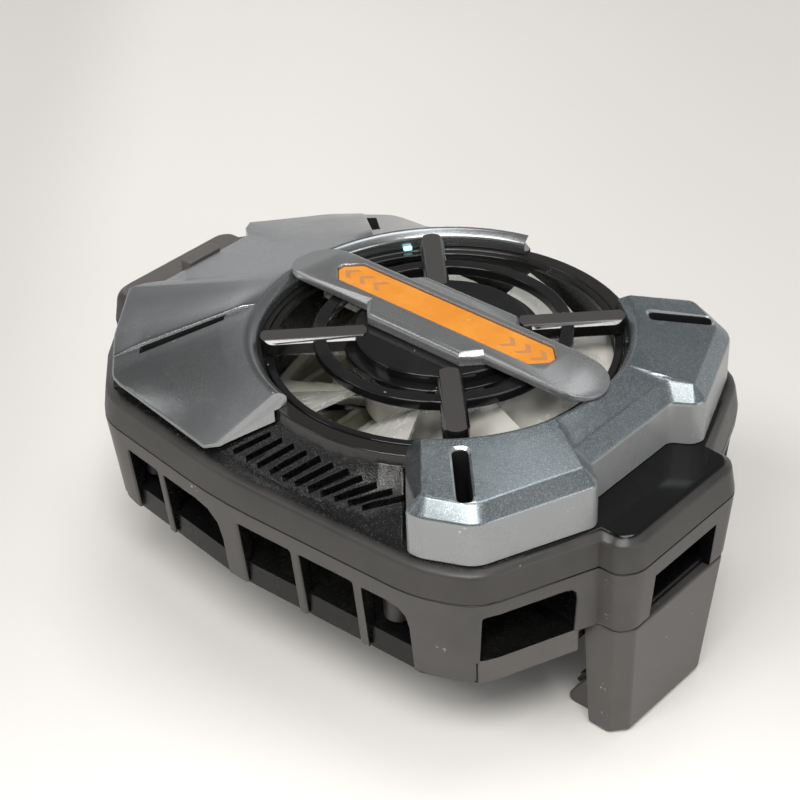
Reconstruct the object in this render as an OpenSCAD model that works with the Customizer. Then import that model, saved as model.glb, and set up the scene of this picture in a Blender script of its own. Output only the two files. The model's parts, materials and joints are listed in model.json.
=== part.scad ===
// Clip-on phone cooling fan. Two sprung jaws hold it on a phone, a cooled plate takes up the heat,
// and a fan over the heat sink blows it out through the side windows.
// X runs along the clip, Y across it and Z up. The origin is on the ground, midway between the jaws.

/* [Body] */
// Distance over the outer faces of the two end blocks
clip_span = 78.2; // [77:0.2:82]
// Width of the body at its widest
body_w = 53.8; // [53:0.2:58]
// Width of the end blocks
block_w = 20.4; // [19.6:0.2:21.2]
// Width of the flat outer face of an end block
block_face_w = 16.4; // [15:0.2:17.4]
// Length of an end block's top, from its outer face to the trim
block_len = 7.7; // [7.2:0.1:8.4]
// Height of the base plate's underside above the ground
leg_drop = 13.4; // [12.8:0.1:17]
// Height of the base plate's rim
base_h = 2.9; // [2.7:0.1:3.3]
// Height of the lower housing's wall
lower_h = 8.2; // [8:0.1:10]
// Height of the upper housing's wall
upper_h = 3.8; // [3.4:0.1:5]
// Thickness of the housing walls
wall = 1.3; // [1:0.1:1.5]
// Lean of the lower walls, run over rise
lower_lean = 0.09; // [0.04:0.01:0.1]
// Lean of the upper walls, run over rise
upper_lean = 0.16; // [0.08:0.01:0.2]
// Gap between the pillars' lips and the base plate
lip_gap = 0.1; // [0.05:0.05:0.2]
// Thickness of the pillars' lips in front of the base plate
lip_t = 0.6; // [0.4:0.1:0.8]

/* [Fan opening] */
// Offset of the fan axis from the middle of the clip
fan_x = 6.35; // [4:0.05:7]
// Radius of the fan opening in the collar
bore_r = 19.4; // [19:0.1:19.7]
// Radius of the collar round the opening
collar_r = 21.2; // [21:0.1:21.6]
// Rise of the sloped deck from its foot to the collar
deck_rise = 4.7; // [4.2:0.1:5.4]
// Height of the collar above the deck
collar_h = 1.4; // [1.2:0.1:2]

/* [Trim] */
// Radius of the trim's inner edge
trim_r = 20; // [19.9:0.1:20.4]
// Height of the trim's ring above the collar
trim_h = 2; // [1.8:0.1:2.6]
// Depth of the bevel on the trim's inner edge
trim_bevel = 0.7; // [0.3:0.1:1]
// Height of the right wing's upright walls
wing_wall_h = 5; // [4.2:0.1:5.6]
// Width of the bevel round the right wing's top
wing_bevel = 1.5; // [1:0.1:1.8]
// Thickness of the right wing's shell
wing_t = 1.3; // [1:0.1:1.6]
// Height of the left wing's edge above the deck
wing_edge_h = 0.6; // [0.4:0.1:0.9]
// Width of the right wing's slots
slot_w = 1.8; // [1.4:0.1:2.2]

/* [Cross bar] */
// Width of the cross bar
bar_w = 6.4; // [5.8:0.1:7]
// Height of the cross bar
bar_h = 1.7; // [1.5:0.1:2.2]
// Length of the cross bar's overhang beyond the collar
bar_lap = 0.3; // [0.1:0.1:0.8]
// Length of the orange plate
label_l = 30; // [26:0.5:31]
// Width of the orange plate
label_w = 4.1; // [3.6:0.1:4.3]
// Length of the hub plate
hub_plate_l = 16.8; // [15:0.2:18]
// Width of the hub plate
hub_plate_w = 10; // [9:0.2:11]

/* [Fan] */
// Number of fan blades
blade_n = 9; // [5:1:9]
// Gap between the blade tips and the opening
tip_gap = 0.8; // [0.6:0.1:1.4]
// Radius of the fan hub
hub_r = 8.9; // [8.6:0.1:9.4]
// Height of the fan
fan_h = 6.4; // [6.2:0.1:7]
// Radius of the fan shaft
shaft_r = 0.75; // [0.6:0.05:0.9]
// Radial play of the shaft in its bearing
shaft_play = 0.03; // [0.02:0.01:0.06]
// Width of a guard arm
arm_w = 2.8; // [2.2:0.1:3.2]
// Inner radius of the guard's middle ring
ring_in_r = 12.6; // [12:0.1:13]
// Width of the guard's middle ring
ring_w = 1.5; // [1.2:0.1:2]

/* [Jaws] */
// Outward travel of each jaw
jaw_travel = 8; // [4:0.5:8]
// Gap between the two jaws' inner faces when closed
jaw_gap = 66; // [65.2:0.2:66.6]
// Length of a jaw's hook under the phone
hook_l = 3.9; // [3:0.1:5]
// Thickness of the jaw's slide tongue
tongue_t = 0.9; // [0.8:0.1:1]
// Width of the jaw's slide tongue
tongue_w = 12; // [10:0.5:13]
// Sliding clearance of the jaws
slide_gap = 0.15; // [0.1:0.05:0.2]
// Outer diameter of a jaw spring
spring_d = 2.6; // [2.2:0.1:2.8]
// Wire diameter of a jaw spring
spring_wire = 0.4; // [0.3:0.05:0.45]
// Curls of a jaw spring
spring_curls = 9; // [7:1:10]

/* [Cooler] */
// Length of the cold plate along the clip
plate_l = 31; // [28:0.5:31]
// Width of the cold plate
plate_w = 34; // [30:0.5:36]
// Thickness of the cold plate
plate_t = 3.4; // [3.2:0.1:3.6]
// Thickness of the contact pad
pad_t = 0.6; // [0.4:0.1:1]
// Side of the cooling module
module_l = 30; // [26:0.5:30]
// Thickness of the cooling module
module_t = 3.3; // [3.2:0.1:3.8]
// Width of the heat sink
sink_w = 34; // [30:0.5:36]
// Thickness of the heat sink's base
sink_t = 1.4; // [1.2:0.1:1.8]
// Number of heat sink fins
fin_n = 15; // [8:1:18]
// Thickness of a heat sink fin
fin_t = 0.7; // [0.5:0.1:0.9]

/* [Board and fixings] */
// Thickness of the control board
board_t = 1.2; // [1:0.1:1.4]
// Width of the control board
board_w = 19; // [17:0.5:20]
// Radius of the housing screws
screw_r = 0.6; // [0.5:0.05:0.7]
// Wall of the screw bosses round their screws
boss_wall = 0.8; // [0.7:0.05:0.9]
// Clearance of a screw in its hole
screw_gap = 0.05; // [0.05:0.05:0.1]
// Small gap left between fitted pieces
fit_gap = 0.05; // [0.04:0.01:0.08]

/* [Hidden] */
$fn = 96;

// Colours
shell_black = [0.07, 0.07, 0.07];
gloss_black = [0.03, 0.03, 0.03];
trim_grey = [0.36, 0.39, 0.41];
label_orange = [0.95, 0.48, 0.08];
clear_blade = [0.78, 0.78, 0.72, 0.6];
steel = [0.66, 0.67, 0.68];
aluminium = [0.74, 0.75, 0.76];
copper = [0.72, 0.42, 0.22];
ceramic = [0.93, 0.92, 0.88];
board_green = [0.05, 0.3, 0.16];
rubber = [0.12, 0.12, 0.12];

// Heights
base_z = leg_drop;
base_top = base_z + base_h;
seam_z = base_top + lower_h;
deck_z = seam_z + upper_h;
collar_z = deck_z + deck_rise;
rim_z = collar_z + collar_h;
trim_z = rim_z + trim_h;
bar_z = trim_z + fit_gap;
bar_top = bar_z + bar_h;
window_top = seam_z - 2.3;
far = 100;

// Turned copies keep this many steps on a rounded corner
corner_steps = 3;

function unit(v) = v / norm(v);
function mix(a, b, t) = a + (b - a) * t;
function left_of(v) = [-v[1], v[0]];
function reversed(list) = [for (i = [len(list) - 1 : -1 : 0]) list[i]];
function flip_y(pts) = [for (p = reversed(pts)) [p[0], -p[1]]];
function edge_normal(pts, i) =
    let (n = len(pts))
    left_of(unit(pts[(i + 1) % n] - pts[i % n]));

// Outline, listed anticlockwise, moved inward by d
function inset(pts, d) = [for (i = [0 : len(pts) - 1])
    let (a = edge_normal(pts, i + len(pts) - 1), b = edge_normal(pts, i))
    pts[i] + d * (a + b) / (1 + a * b)];

// Outline with corner i rounded off over the length cuts[i] of its two edges
function rounded(pts, cuts) = [for (i = [0 : len(pts) - 1])
    let (
        n = len(pts),
        to_last = pts[(i + n - 1) % n] - pts[i],
        to_next = pts[(i + 1) % n] - pts[i],
        cut = min(cuts[i], 0.45 * norm(to_last), 0.45 * norm(to_next))
    )
    each cuts[i] == 0 ? [pts[i]] : [for (k = [0 : corner_steps])
        let (s = k / corner_steps)
        pts[i] + cut * (pow(1 - s, 2) * unit(to_last) + pow(s, 2) * unit(to_next))]];

function at_height(pts, z) = [for (p = pts) [p[0], p[1], z]];
function ring_point(r, a) = [fan_x + r * cos(a), r * sin(a)];

// Closed skin over a row of loops with the same number of points, each turning right-handed along the row
module skin(loops, fan_caps = false) {
    n = len(loops[0]);
    last = (len(loops) - 1) * n;
    sides = [for (j = [0 : len(loops) - 2], i = [0 : n - 1])
        [j * n + i, (j + 1) * n + i, (j + 1) * n + (i + 1) % n, j * n + (i + 1) % n]];
    polyhedron(
        points = [for (loop = loops, p = loop) p],
        faces = concat(
            fan_caps ? [for (i = [1 : n - 2]) [0, i, i + 1]] : [[for (i = [0 : n - 1]) i]],
            [for (s = sides) each [[s[0], s[1], s[2]], [s[0], s[2], s[3]]]],
            fan_caps ? [for (i = [1 : n - 2]) [last, last + i + 1, last + i]]
                : [[for (i = [n - 1 : -1 : 0]) last + i]]
        ),
        convexity = 8
    );
}

// Wall of the given plan outlines, one per height
module loft(heights, plans) {
    skin([for (i = [0 : len(heights) - 1]) at_height(plans[i], heights[i])]);
}

// Upright tube
module tube(r_out, r_in, z0, z1) {
    difference() {
        translate([0, 0, z0])
            cylinder(r = r_out, h = z1 - z0);
        translate([0, 0, z0 - 1])
            cylinder(r = r_in, h = z1 - z0 + 2);
    }
}

// Box from one corner to the opposite one
module block(low, high) {
    translate(low)
        cube(high - low);
}

// Flat bar with round ends, from x0 to x1
module stadium(x0, x1, w) {
    translate([x0 + w / 2, 0])
        circle(d = w);
    translate([x1 - w / 2, 0])
        circle(d = w);
    translate([x0 + w / 2, -w / 2])
        square([x1 - x0 - w, w]);
}

module both_sides() {
    children();
    mirror([0, 1, 0])
        children();
}

// Body outline: block, root, shoulder, facet, widest place, cheek, bulge, root and block
shoulder_back = 8.9;
shoulder_in = 4.2;
facet_back = 14.9;
facet_in = 1.45;
widest_x = -2.5;
cheek_back = 16.3;
cheek_in = 2.1;
block_cut = 1.45;
front_root = 3.75;
rear_root = 3.1;
cheek_bulge = 0.7;
end_x = clip_span / 2;
half_w = body_w / 2;
cheek = [cheek_back - end_x, half_w - cheek_in];
rear_corner = [rear_root - end_x, block_w / 2];
half_body = [
    [end_x, block_face_w / 2],
    [end_x - block_cut, block_w / 2],
    [end_x - front_root, block_w / 2],
    [end_x - shoulder_back, half_w - shoulder_in],
    [end_x - facet_back, half_w - facet_in],
    [widest_x, half_w],
    cheek,
    mix(cheek, rear_corner, 0.45) - cheek_bulge * left_of(unit(rear_corner - cheek)),
    rear_corner,
    [block_cut - end_x, block_w / 2],
    [-end_x, block_face_w / 2]
];
half_cuts = [0.9, 0.9, 0, 2.4, 5, 5, 2.6, 0, 0, 0.9, 0.9];
body_pts = concat(half_body, flip_y(half_body));
body_cuts = concat(half_cuts, reversed(half_cuts));
function outline(d) = rounded(inset(body_pts, d), body_cuts);
function lower_in(z) = lower_lean * (seam_z - z);

// Deck ledge: where the trim and the sloped deck stand, inside the top edge
edge_bevel = 0.8;
ledge_in = upper_lean * upper_h + edge_bevel;
ledge = inset(body_pts, ledge_in + 0.1);
front_root_pt = ledge[2];
shoulder_pt = ledge[3];
facet_pt = ledge[4];
widest_pt = ledge[5];
cheek_pt = ledge[6];
bulge_pt = ledge[7];
rear_root_pt = ledge[8];

// Rays of the deck: angle round the fan axis, foot of the slope, rise of the left wing's edge there
// and gap left under that edge
deck_from = 61;
wing_from = 103;
notch_x = end_x - block_len;
notch_w = 13.8;
deck_rays = [
    [deck_from, mix(facet_pt, widest_pt, 0.08), 0, 0],
    [wing_from, mix(widest_pt, cheek_pt, 0.1), wing_edge_h, 0.1],
    [146, cheek_pt, wing_edge_h + 0.8, 0.9],
    [153, mix(cheek_pt, bulge_pt, 0.45), wing_edge_h + 1, 0.9],
    [160, bulge_pt, wing_edge_h + 1.2, 0.7],
    [167, mix(bulge_pt, rear_root_pt, 0.86), wing_edge_h + 1.4, 0.3],
    [171, [-notch_x - 2, notch_w / 2 + 1.5], wing_edge_h + 1.6, 0.1],
    [174, [-notch_x, notch_w / 2], wing_edge_h + 2, 0.1],
    [180, [-notch_x, 0], wing_edge_h + 2, 0.1]
];
ray_step = 6;
function rays_between(a, b) =
    let (n = max(1, ceil((b[0] - a[0]) / ray_step)))
    [for (k = [0 : n - 1])
        [for (i = [0 : len(a) - 1]) mix(a[i], b[i], k / n)]];
function flip_rays(rays) = [for (r = reversed(rays)) [360 - r[0], [r[1][0], -r[1][1]], r[2], r[3]]];
left_rays = [for (i = [0 : len(deck_rays) - 2]) each rays_between(deck_rays[i], deck_rays[i + 1])];
collar_foot = 0.3;
right_rays = [for (a = [0 : ray_step : deck_from - 1]) [a, ring_point(collar_r + collar_foot, a), 0, 0]];
half_rays = concat(right_rays, left_rays);
last_ray = deck_rays[len(deck_rays) - 1];
mirror_rays = flip_rays([for (i = [1 : len(half_rays) - 1]) half_rays[i]]);
all_rays = concat(half_rays, [last_ray], mirror_rays);
wing_half = [for (r = left_rays) if (r[0] >= wing_from) r];
wing_rays = concat(wing_half, [last_ray], flip_rays(wing_half));

// Screw bosses of the upper housing
boss_r = screw_r + screw_gap + boss_wall;
front_boss_x = end_x - 20.5;
rear_boss_x = 19.7 - end_x;
boss_in = 5;
rear_boss_in = 1.2;
boss_spots = [for (x = [front_boss_x, rear_boss_x], s = [-1, 1])
    [x, s * (half_w - boss_in - (x < 0 ? rear_boss_in : 0))]];
boss_z = base_top + 0.6;
module at_bosses() {
    for (p = boss_spots)
        translate([p[0], p[1], 0])
            children();
}

// Power inlet
usb_w = 8.9;
usb_h = 3.2;
usb_l = 7.3;
usb_gap = 0.2;
board_z = seam_z - 1.6 - board_t;
usb_z = board_z + board_t + usb_h / 2;
usb_x = 0.4 - end_x;
board_x0 = usb_x + 0.9 + wall;
board_l = 20.5;
board_x1 = board_x0 + board_l;
module usb_plan(grow) {
    square([usb_w - usb_h, usb_h + 2 * grow], center = true);
    for (s = [-1, 1])
        translate([s * (usb_w - usb_h) / 2, 0])
            circle(d = usb_h + 2 * grow);
}
module usb_prism(x0, x1, grow) {
    translate([x0, 0, usb_z])
        rotate([90, 0, 90])
            linear_extrude(x1 - x0)
                usb_plan(grow);
}

// Grooves of the deck's vent panels, each on its own ray of the slope
groove_n = 11;
groove_l = 4.9;
groove_w = 0.65;
groove_turn = 35;
groove_deep = 0.6;
function slope_foot(t) =
    let (p = mix(deck_rays[0][1], deck_rays[1][1], t))
    [p[0], p[1], deck_z];
function slope_crest(t) =
    let (p = ring_point(collar_r, mix(deck_rays[0][0], deck_rays[1][0], t)))
    [p[0], p[1], collar_z];
function slope_mid(t) = (slope_foot(t) + slope_crest(t)) / 2;
module vent_grooves() {
    for (i = [0 : groove_n - 1]) {
        t = mix(0.1, 0.94, i / (groove_n - 1));
        c = slope_mid(t);
        n = unit(cross(slope_mid(t + 0.01) - slope_mid(t - 0.01), slope_foot(t) - slope_crest(t)));
        way = [cos(groove_turn), -sin(groove_turn)];
        g = unit([way[0], way[1], -(n[0] * way[0] + n[1] * way[1]) / n[2]]);
        s = cross(n, g);
        multmatrix([[g[0], s[0], n[0], c[0]], [g[1], s[1], n[1], c[1]], [g[2], s[2], n[2], c[2]]])
            block([-groove_l / 2, -groove_w / 2, -groove_deep], [groove_l / 2, groove_w / 2, 2]);
    }
}

module deck_slope() {
    feet = [for (r = all_rays) r[1]];
    ring = [for (r = all_rays) ring_point(collar_r - 0.1, r[0])];
    loft([deck_z - wall / 2, deck_z, collar_z], [feet, feet, ring]);
}

// Space inside the two shells
cavity_in = wall + lower_in(base_z);
module cavity(z0, z1) {
    translate([0, 0, z0])
        linear_extrude(z1 - z0)
            polygon(inset(body_pts, cavity_in));
}

hood_w = 5;
hood_l = 1.8;
hood_h = 2.9;
module upper_housing() {
    color(shell_black)
    difference() {
        union() {
            difference() {
                union() {
                    loft([seam_z, deck_z - edge_bevel, deck_z],
                        [outline(0), outline(upper_lean * (upper_h - edge_bevel)), outline(ledge_in)]);
                    deck_slope();
                    translate([fan_x, 0, seam_z])
                        cylinder(r = collar_r, h = rim_z - seam_z);
                    block([-notch_x - hood_l - 0.2, -hood_w / 2, deck_z - 0.5],
                        [-notch_x - 0.2, hood_w / 2, deck_z + hood_h]);
                }
                cavity(seam_z - 1, deck_z - wall);
            }
            at_bosses()
                translate([0, 0, boss_z])
                    cylinder(r = boss_r, h = deck_z - boss_z);
        }
        translate([fan_x, 0, seam_z - 1])
            cylinder(r = bore_r, h = far);
        at_bosses()
            translate([0, 0, boss_z - 1])
                cylinder(r = screw_r + screw_gap, h = deck_z - boss_z - 1);
        usb_prism(-end_x - 1, usb_x + usb_l + 1, usb_gap);
        both_sides()
            vent_grooves();
    }
}

// Windows of the long sides: start, end and whether the far top corner is round
post_front_x = end_x - shoulder_back - 1.2;
post_rear_x = cheek_back - end_x - 0.5;
side_windows = [[-19, -13.5, 0], [-12.4, -2.9, 3.4], [0, 7.5, 0], [8.6, 15.9, 0], [17.1, 23, 3]];
module side_window(x0, x1, turn) {
    pts = [[x0, base_z - 1], [x1, base_z - 1], [x1, window_top], [x0, window_top]];
    translate([0, far / 2, 0])
        rotate([90, 0, 0])
            linear_extrude(far)
                polygon(rounded(pts, [0, 0, turn + 0.4, 0.4]));
}

// Window through a slanted face between plan points p and q, from s0 to s1 along it
module slant_window(p, q, s0, s1) {
    along = unit(q - p);
    angle = atan2(along[1], along[0]);
    pts = [[s0, base_z - 1], [s1, base_z - 1], [s1, window_top + 0.4], [s0, window_top + 0.4]];
    translate([p[0], p[1], 0])
        rotate([0, 0, angle])
            rotate([90, 0, 0])
                translate([0, 0, -2.5 * wall])
                    linear_extrude(5 * wall)
                        polygon(rounded(pts, [0, 0, 0.4, 1.6]));
}

// Sliding jaws, drawn at the front end
jaw_x = jaw_gap / 2;
tongue_z = base_top - slide_gap - tongue_t;
tongue_in = plate_l / 2 + 0.8;
web_t = 0.8;
web_w = 23;
web_top = base_top + web_t;
lug_l = 1.6;
lug_w = 3;
stop_x = jaw_x - 0.2;
stop_t = 1;
spring_z = web_top + slide_gap + spring_d / 2;
lug_top = spring_z + spring_d / 2;
slide_slot_w = lug_w + 2 * slide_gap;

// Floor over the slide with its slot and the spring's end stop
module slide_web() {
    difference() {
        union() {
            intersection() {
                translate([0, 0, base_top])
                    linear_extrude(web_t)
                        polygon(inset(body_pts, cavity_in - wall / 2));
                block([tongue_in - 0.4, -web_w / 2, base_top - 1], [end_x, web_w / 2, web_top + 1]);
            }
            block([stop_x, -block_w / 2 + wall, base_top], [stop_x + stop_t, block_w / 2 - wall, lug_top]);
        }
        block([tongue_in - 1, -slide_slot_w / 2, base_top - 1],
            [tongue_in + lug_l + jaw_travel + 2 * slide_gap, slide_slot_w / 2, web_top + 1]);
    }
}

lip_in = lip_t + lower_in(base_top);
lip_z = base_z + 0.2;
post_spots = [for (x = [board_x0 + usb_l, board_x1 - 2.2], s = [-1, 1]) [x, s * (board_w / 2 - 1.6)]];
post_r = 1.3;
pilot_r = 0.55;
module lower_housing() {
    color(shell_black)
    difference() {
        union() {
            difference() {
                loft([lip_z, seam_z], [outline(lower_in(lip_z)), outline(0)]);
                cavity(base_z - 1, seam_z + 1);
                translate([0, 0, base_z - 1])
                    linear_extrude(base_h + 1)
                        polygon(inset(body_pts, lip_in));
                block([post_front_x, -far, 0], [far, far, base_top]);
                block([-far, -far, 0], [post_rear_x, far, base_top]);
                for (w = side_windows)
                    side_window(w[0], w[1], w[2]);
                both_sides() {
                    slant_window(half_body[2], half_body[3], 2.2, 12.8);
                    slant_window(cheek, rear_corner, 3, 15);
                }
                block([end_x - 3, -5.4, 0], [far, 5.4, window_top]);
            }
            slide_web();
            mirror([1, 0, 0])
                slide_web();
            for (p = post_spots)
                translate([p[0], p[1], base_top])
                    cylinder(r = post_r, h = board_z - base_top);
        }
        for (p = post_spots)
            translate([p[0], p[1], web_top])
                cylinder(r = pilot_r, h = far);
        usb_prism(-end_x - 1, usb_x + usb_l + 1, usb_gap);
    }
}

head_r = 1.3;
head_h = 0.8;
module base_plate() {
    color(shell_black)
    difference() {
        union() {
            translate([0, 0, base_z])
                linear_extrude(base_h)
                    polygon(inset(body_pts, lip_in + lip_gap));
            difference() {
                translate([0, 0, base_z])
                    linear_extrude(base_h)
                        polygon(outline(lower_in(base_z)));
                block([post_rear_x - lip_gap, -far, 0], [post_front_x + lip_gap, far, far]);
            }
        }
        block([-plate_l / 2 - fit_gap, -plate_w / 2 - fit_gap, 0],
            [plate_l / 2 + fit_gap, plate_w / 2 + fit_gap, far]);
        for (s = [0, 1])
            mirror([s, 0, 0]) {
                block([jaw_x - slide_gap, -block_w / 2 - 1, 0], [far, block_w / 2 + 1, far]);
                block([tongue_in - slide_gap, -tongue_w / 2 - slide_gap, tongue_z - slide_gap],
                    [far, tongue_w / 2 + slide_gap, far]);
            }
        at_bosses() {
            cylinder(r = screw_r + screw_gap, h = far);
            cylinder(r = head_r + screw_gap, h = base_z + head_h);
        }
    }
}

// Both wings have the same ring, bevelled towards the fan opening
bevel_r = collar_r - 0.35;
wing_in_r = collar_r + collar_foot + 2 * fit_gap;
function ring_at(r, a, z) = [fan_x + r * cos(a), r * sin(a), z];
function wing_ring(a, top_a) = [
    ring_at(wing_in_r, a, rim_z + fit_gap),
    ring_at(trim_r, a, rim_z + fit_gap),
    ring_at(trim_r, mix(a, top_a, 0.5), trim_z - trim_bevel),
    ring_at(bevel_r, top_a, trim_z),
    ring_at(collar_r, top_a, trim_z)
];

// Left wing: follows the deck from the ring down to its edge, which stands clear of the deck
wing_seat = 0.12;
module wing_skin() {
    skin([for (r = wing_rays)
        let (
            seat = mix(r[1], ring_point(collar_r, r[0]), wing_seat),
            seat_z = deck_z + wing_seat * deck_rise + 2 * fit_gap
        )
        concat(wing_ring(r[0], r[0]), [
            [r[1][0], r[1][1], deck_z + r[2]],
            [r[1][0], r[1][1], deck_z + fit_gap + r[3]],
            [seat[0], seat[1], seat_z],
            ring_at(wing_in_r, r[0], collar_z + 2 * fit_gap)
        ])], true);
}

ridge_w = 1;
module left_wing() {
    crest = ring_point(collar_r, deck_rays[3][0]);
    foot = deck_rays[3][1];
    along = foot - crest;
    color(trim_grey)
    difference() {
        wing_skin();
        both_sides()
            translate([crest[0], crest[1], 0])
                rotate([0, 0, atan2(along[1], along[0])])
                    block([0.22 * norm(along), -ridge_w, deck_z + 1.7], [0.8 * norm(along), 0, far]);
    }
}

// Right wing: upright walls with a bevel under a gently falling top, also at its two ends
wing_to = deck_from - 1.7;
end_bevel_a = 4.2;
end_bevel_from = wing_to - 3 * end_bevel_a;
function top_turn(a) =
    a - sign(a) * end_bevel_a * max(0, abs(a) - end_bevel_from) / (wing_to - end_bevel_from);
half_wing = [
    [notch_x, notch_w / 2],
    [notch_x + 2.2, notch_w / 2 + 1.3],
    mix(shoulder_pt, front_root_pt, 0.95),
    shoulder_pt,
    facet_pt,
    mix(facet_pt, widest_pt, 0.06),
    ring_point(trim_r - 1, wing_to)
];
wing_cuts = [0.8, 0.6, 0.5, 1.4, 1.6, 0.5, 0];
wing_pts = concat(half_wing, flip_y(half_wing));
full_wing_cuts = concat(wing_cuts, reversed(wing_cuts));
edge_n = (corner_steps + 1) * (len(half_wing) - 1);
function wing_edge(d) =
    let (pts = rounded(inset(wing_pts, d), full_wing_cuts))
    concat([for (i = [edge_n + 2 : len(pts) - 1]) pts[i]], [for (i = [0 : edge_n - 1]) pts[i]]);
wing_wall_z = deck_z + wing_wall_h;
wing_foot = wing_edge(0);
wing_top = wing_edge(wing_bevel);
function polar(p) = atan2(p[1], p[0] - fan_x);
wing_spread = wing_to / polar(wing_foot[len(wing_foot) - 1]);
foot_rays = [for (i = [0 : len(wing_foot) - 1])
    [polar(wing_foot[i]) * wing_spread, wing_foot[i], wing_top[i]]];
right_wing_rays = concat(
    [for (i = [0 : len(foot_rays) - 2]) each rays_between(foot_rays[i], foot_rays[i + 1])],
    [foot_rays[len(foot_rays) - 1]]
);

slot_r0 = collar_r + 1;
slot_r1 = collar_r + 8;
module right_wing() {
    slot = [[slot_r0, -slot_w / 2], [slot_r1, -slot_w / 2], [slot_r1, slot_w / 2], [slot_r0, slot_w / 2]];
    slot_cut = 0.44 * slot_w;
    color(trim_grey)
    difference() {
        skin([for (r = right_wing_rays)
            concat(wing_ring(r[0], top_turn(r[0])), [
                [r[2][0], r[2][1], wing_wall_z + wing_bevel],
                [r[1][0], r[1][1], wing_wall_z],
                [r[1][0], r[1][1], deck_z + fit_gap],
                ring_at(wing_in_r, r[0], deck_z + fit_gap)
            ])], true);
        difference() {
            translate([0, 0, deck_z - 1])
                linear_extrude(wing_wall_h + 1 - wing_t / 2)
                    polygon(inset(wing_pts, wing_t));
            translate([fan_x, 0, deck_z - 2])
                cylinder(r = wing_in_r + wing_t, h = far);
        }
        for (a = [-45, 45])
            translate([fan_x, 0, deck_z + 1])
                rotate([0, 0, a])
                    linear_extrude(far)
                        polygon(rounded(slot, [slot_cut, slot_cut, slot_cut, slot_cut]));
    }
}

// Cross bar with the hub plate
bar_x0 = fan_x - collar_r - bar_lap;
bar_x1 = fan_x + collar_r + bar_lap;
label_t = 0.5;
label_clip = 1.6;
label_proud = -0.3;
ramp_l = bar_x1 - fan_x - label_l / 2 - 0.5;
end_h = 0.5;
bar_bevel = 0.9;
back_bevel = 0.3;
hub_clip = 2;
hub_bevel = 0.5;
hub_plate_z = trim_z - 0.15;
hub_plate_top = bar_top - 0.25;
function clipped(l, w, c) = [
    [l / 2, w / 2 - c], [l / 2 - c, w / 2], [c - l / 2, w / 2], [-l / 2, w / 2 - c],
    [-l / 2, c - w / 2], [c - l / 2, -w / 2], [l / 2 - c, -w / 2], [l / 2, c - w / 2]
];
module label_prism(z0, z1, grow) {
    translate([fan_x, 0, z0])
        linear_extrude(z1 - z0)
            polygon(clipped(label_l + 2 * grow, label_w + 2 * grow, label_clip + 0.6 * grow));
}
module cross_bar() {
    side = [[bar_x0, bar_z], [bar_x1, bar_z], [bar_x1, bar_z + end_h], [bar_x1 - ramp_l, bar_top],
        [bar_x0 + ramp_l, bar_top], [bar_x0, bar_z + end_h]];
    section = [[-bar_w / 2, bar_z], [bar_w / 2, bar_z], [bar_w / 2, bar_top - back_bevel],
        [bar_w / 2 - back_bevel, bar_top], [bar_bevel - bar_w / 2, bar_top],
        [-bar_w / 2, bar_top - bar_bevel]];
    hub = clipped(hub_plate_l, hub_plate_w, hub_clip);
    color(trim_grey)
    difference() {
        union() {
            intersection() {
                translate([0, bar_w, 0])
                    rotate([90, 0, 0])
                        linear_extrude(2 * bar_w)
                            polygon(side);
                translate([bar_x0, 0, 0])
                    rotate([90, 0, 90])
                        linear_extrude(bar_x1 - bar_x0)
                            polygon(section);
                linear_extrude(far)
                    stadium(bar_x0, bar_x1, bar_w);
            }
            translate([fan_x, 0, 0])
                loft([hub_plate_z, hub_plate_top - hub_bevel, hub_plate_top],
                    [hub, hub, inset(hub, hub_bevel)]);
        }
        label_prism(bar_top - label_t + label_proud, far, fit_gap);
    }
}

module label_plate() {
    color(label_orange)
        label_prism(bar_top - label_t + label_proud, bar_top + label_proud, 0);
}

// Fan guard
arm_h = 1.8;
arm_z = trim_z - arm_h;
arm_bevel = 0.45;
arm_in_r = 8.2;
arm_out_r = trim_r - 0.3;
guard_t = 0.9;
guard_fit = 0.1;
guard_r = bore_r - guard_fit;
ring_top = trim_z - 0.25;
ring_h = 1.2;
cap_r = hub_r + 0.7;
cap_step = 1.2;
cap_z = rim_z - 0.3;
guard_z = cap_z - 0.3;
module guard_arm() {
    section = [[-arm_w / 2, arm_z], [arm_w / 2, arm_z], [arm_w / 2, trim_z - arm_bevel],
        [arm_w / 2 - arm_bevel, trim_z], [arm_bevel - arm_w / 2, trim_z], [-arm_w / 2, trim_z - arm_bevel]];
    intersection() {
        translate([arm_in_r, 0, 0])
            rotate([90, 0, 90])
                linear_extrude(arm_out_r - arm_in_r)
                    polygon(section);
        translate([0, 0, arm_z - 1])
            linear_extrude(arm_h + 2)
                stadium(arm_in_r, arm_out_r, arm_w);
    }
    block([min(guard_r - guard_t, arm_out_r - arm_w / 2), -arm_w / 4, guard_z],
        [guard_r - guard_t / 4, arm_w / 4, arm_z + 0.2]);
}
module fan_guard() {
    color(gloss_black)
    translate([fan_x, 0, 0]) {
        tube(guard_r, guard_r - guard_t, guard_z, rim_z);
        tube(ring_in_r + ring_w, ring_in_r, ring_top - ring_h, ring_top);
        translate([0, 0, cap_z])
            cylinder(r = cap_r + cap_step, h = (hub_plate_z - cap_z) / 2);
        translate([0, 0, cap_z])
            cylinder(r = cap_r, h = hub_plate_z - cap_z);
        for (a = [45 : 90 : 315])
            rotate([0, 0, a])
                guard_arm();
    }
}

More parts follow.
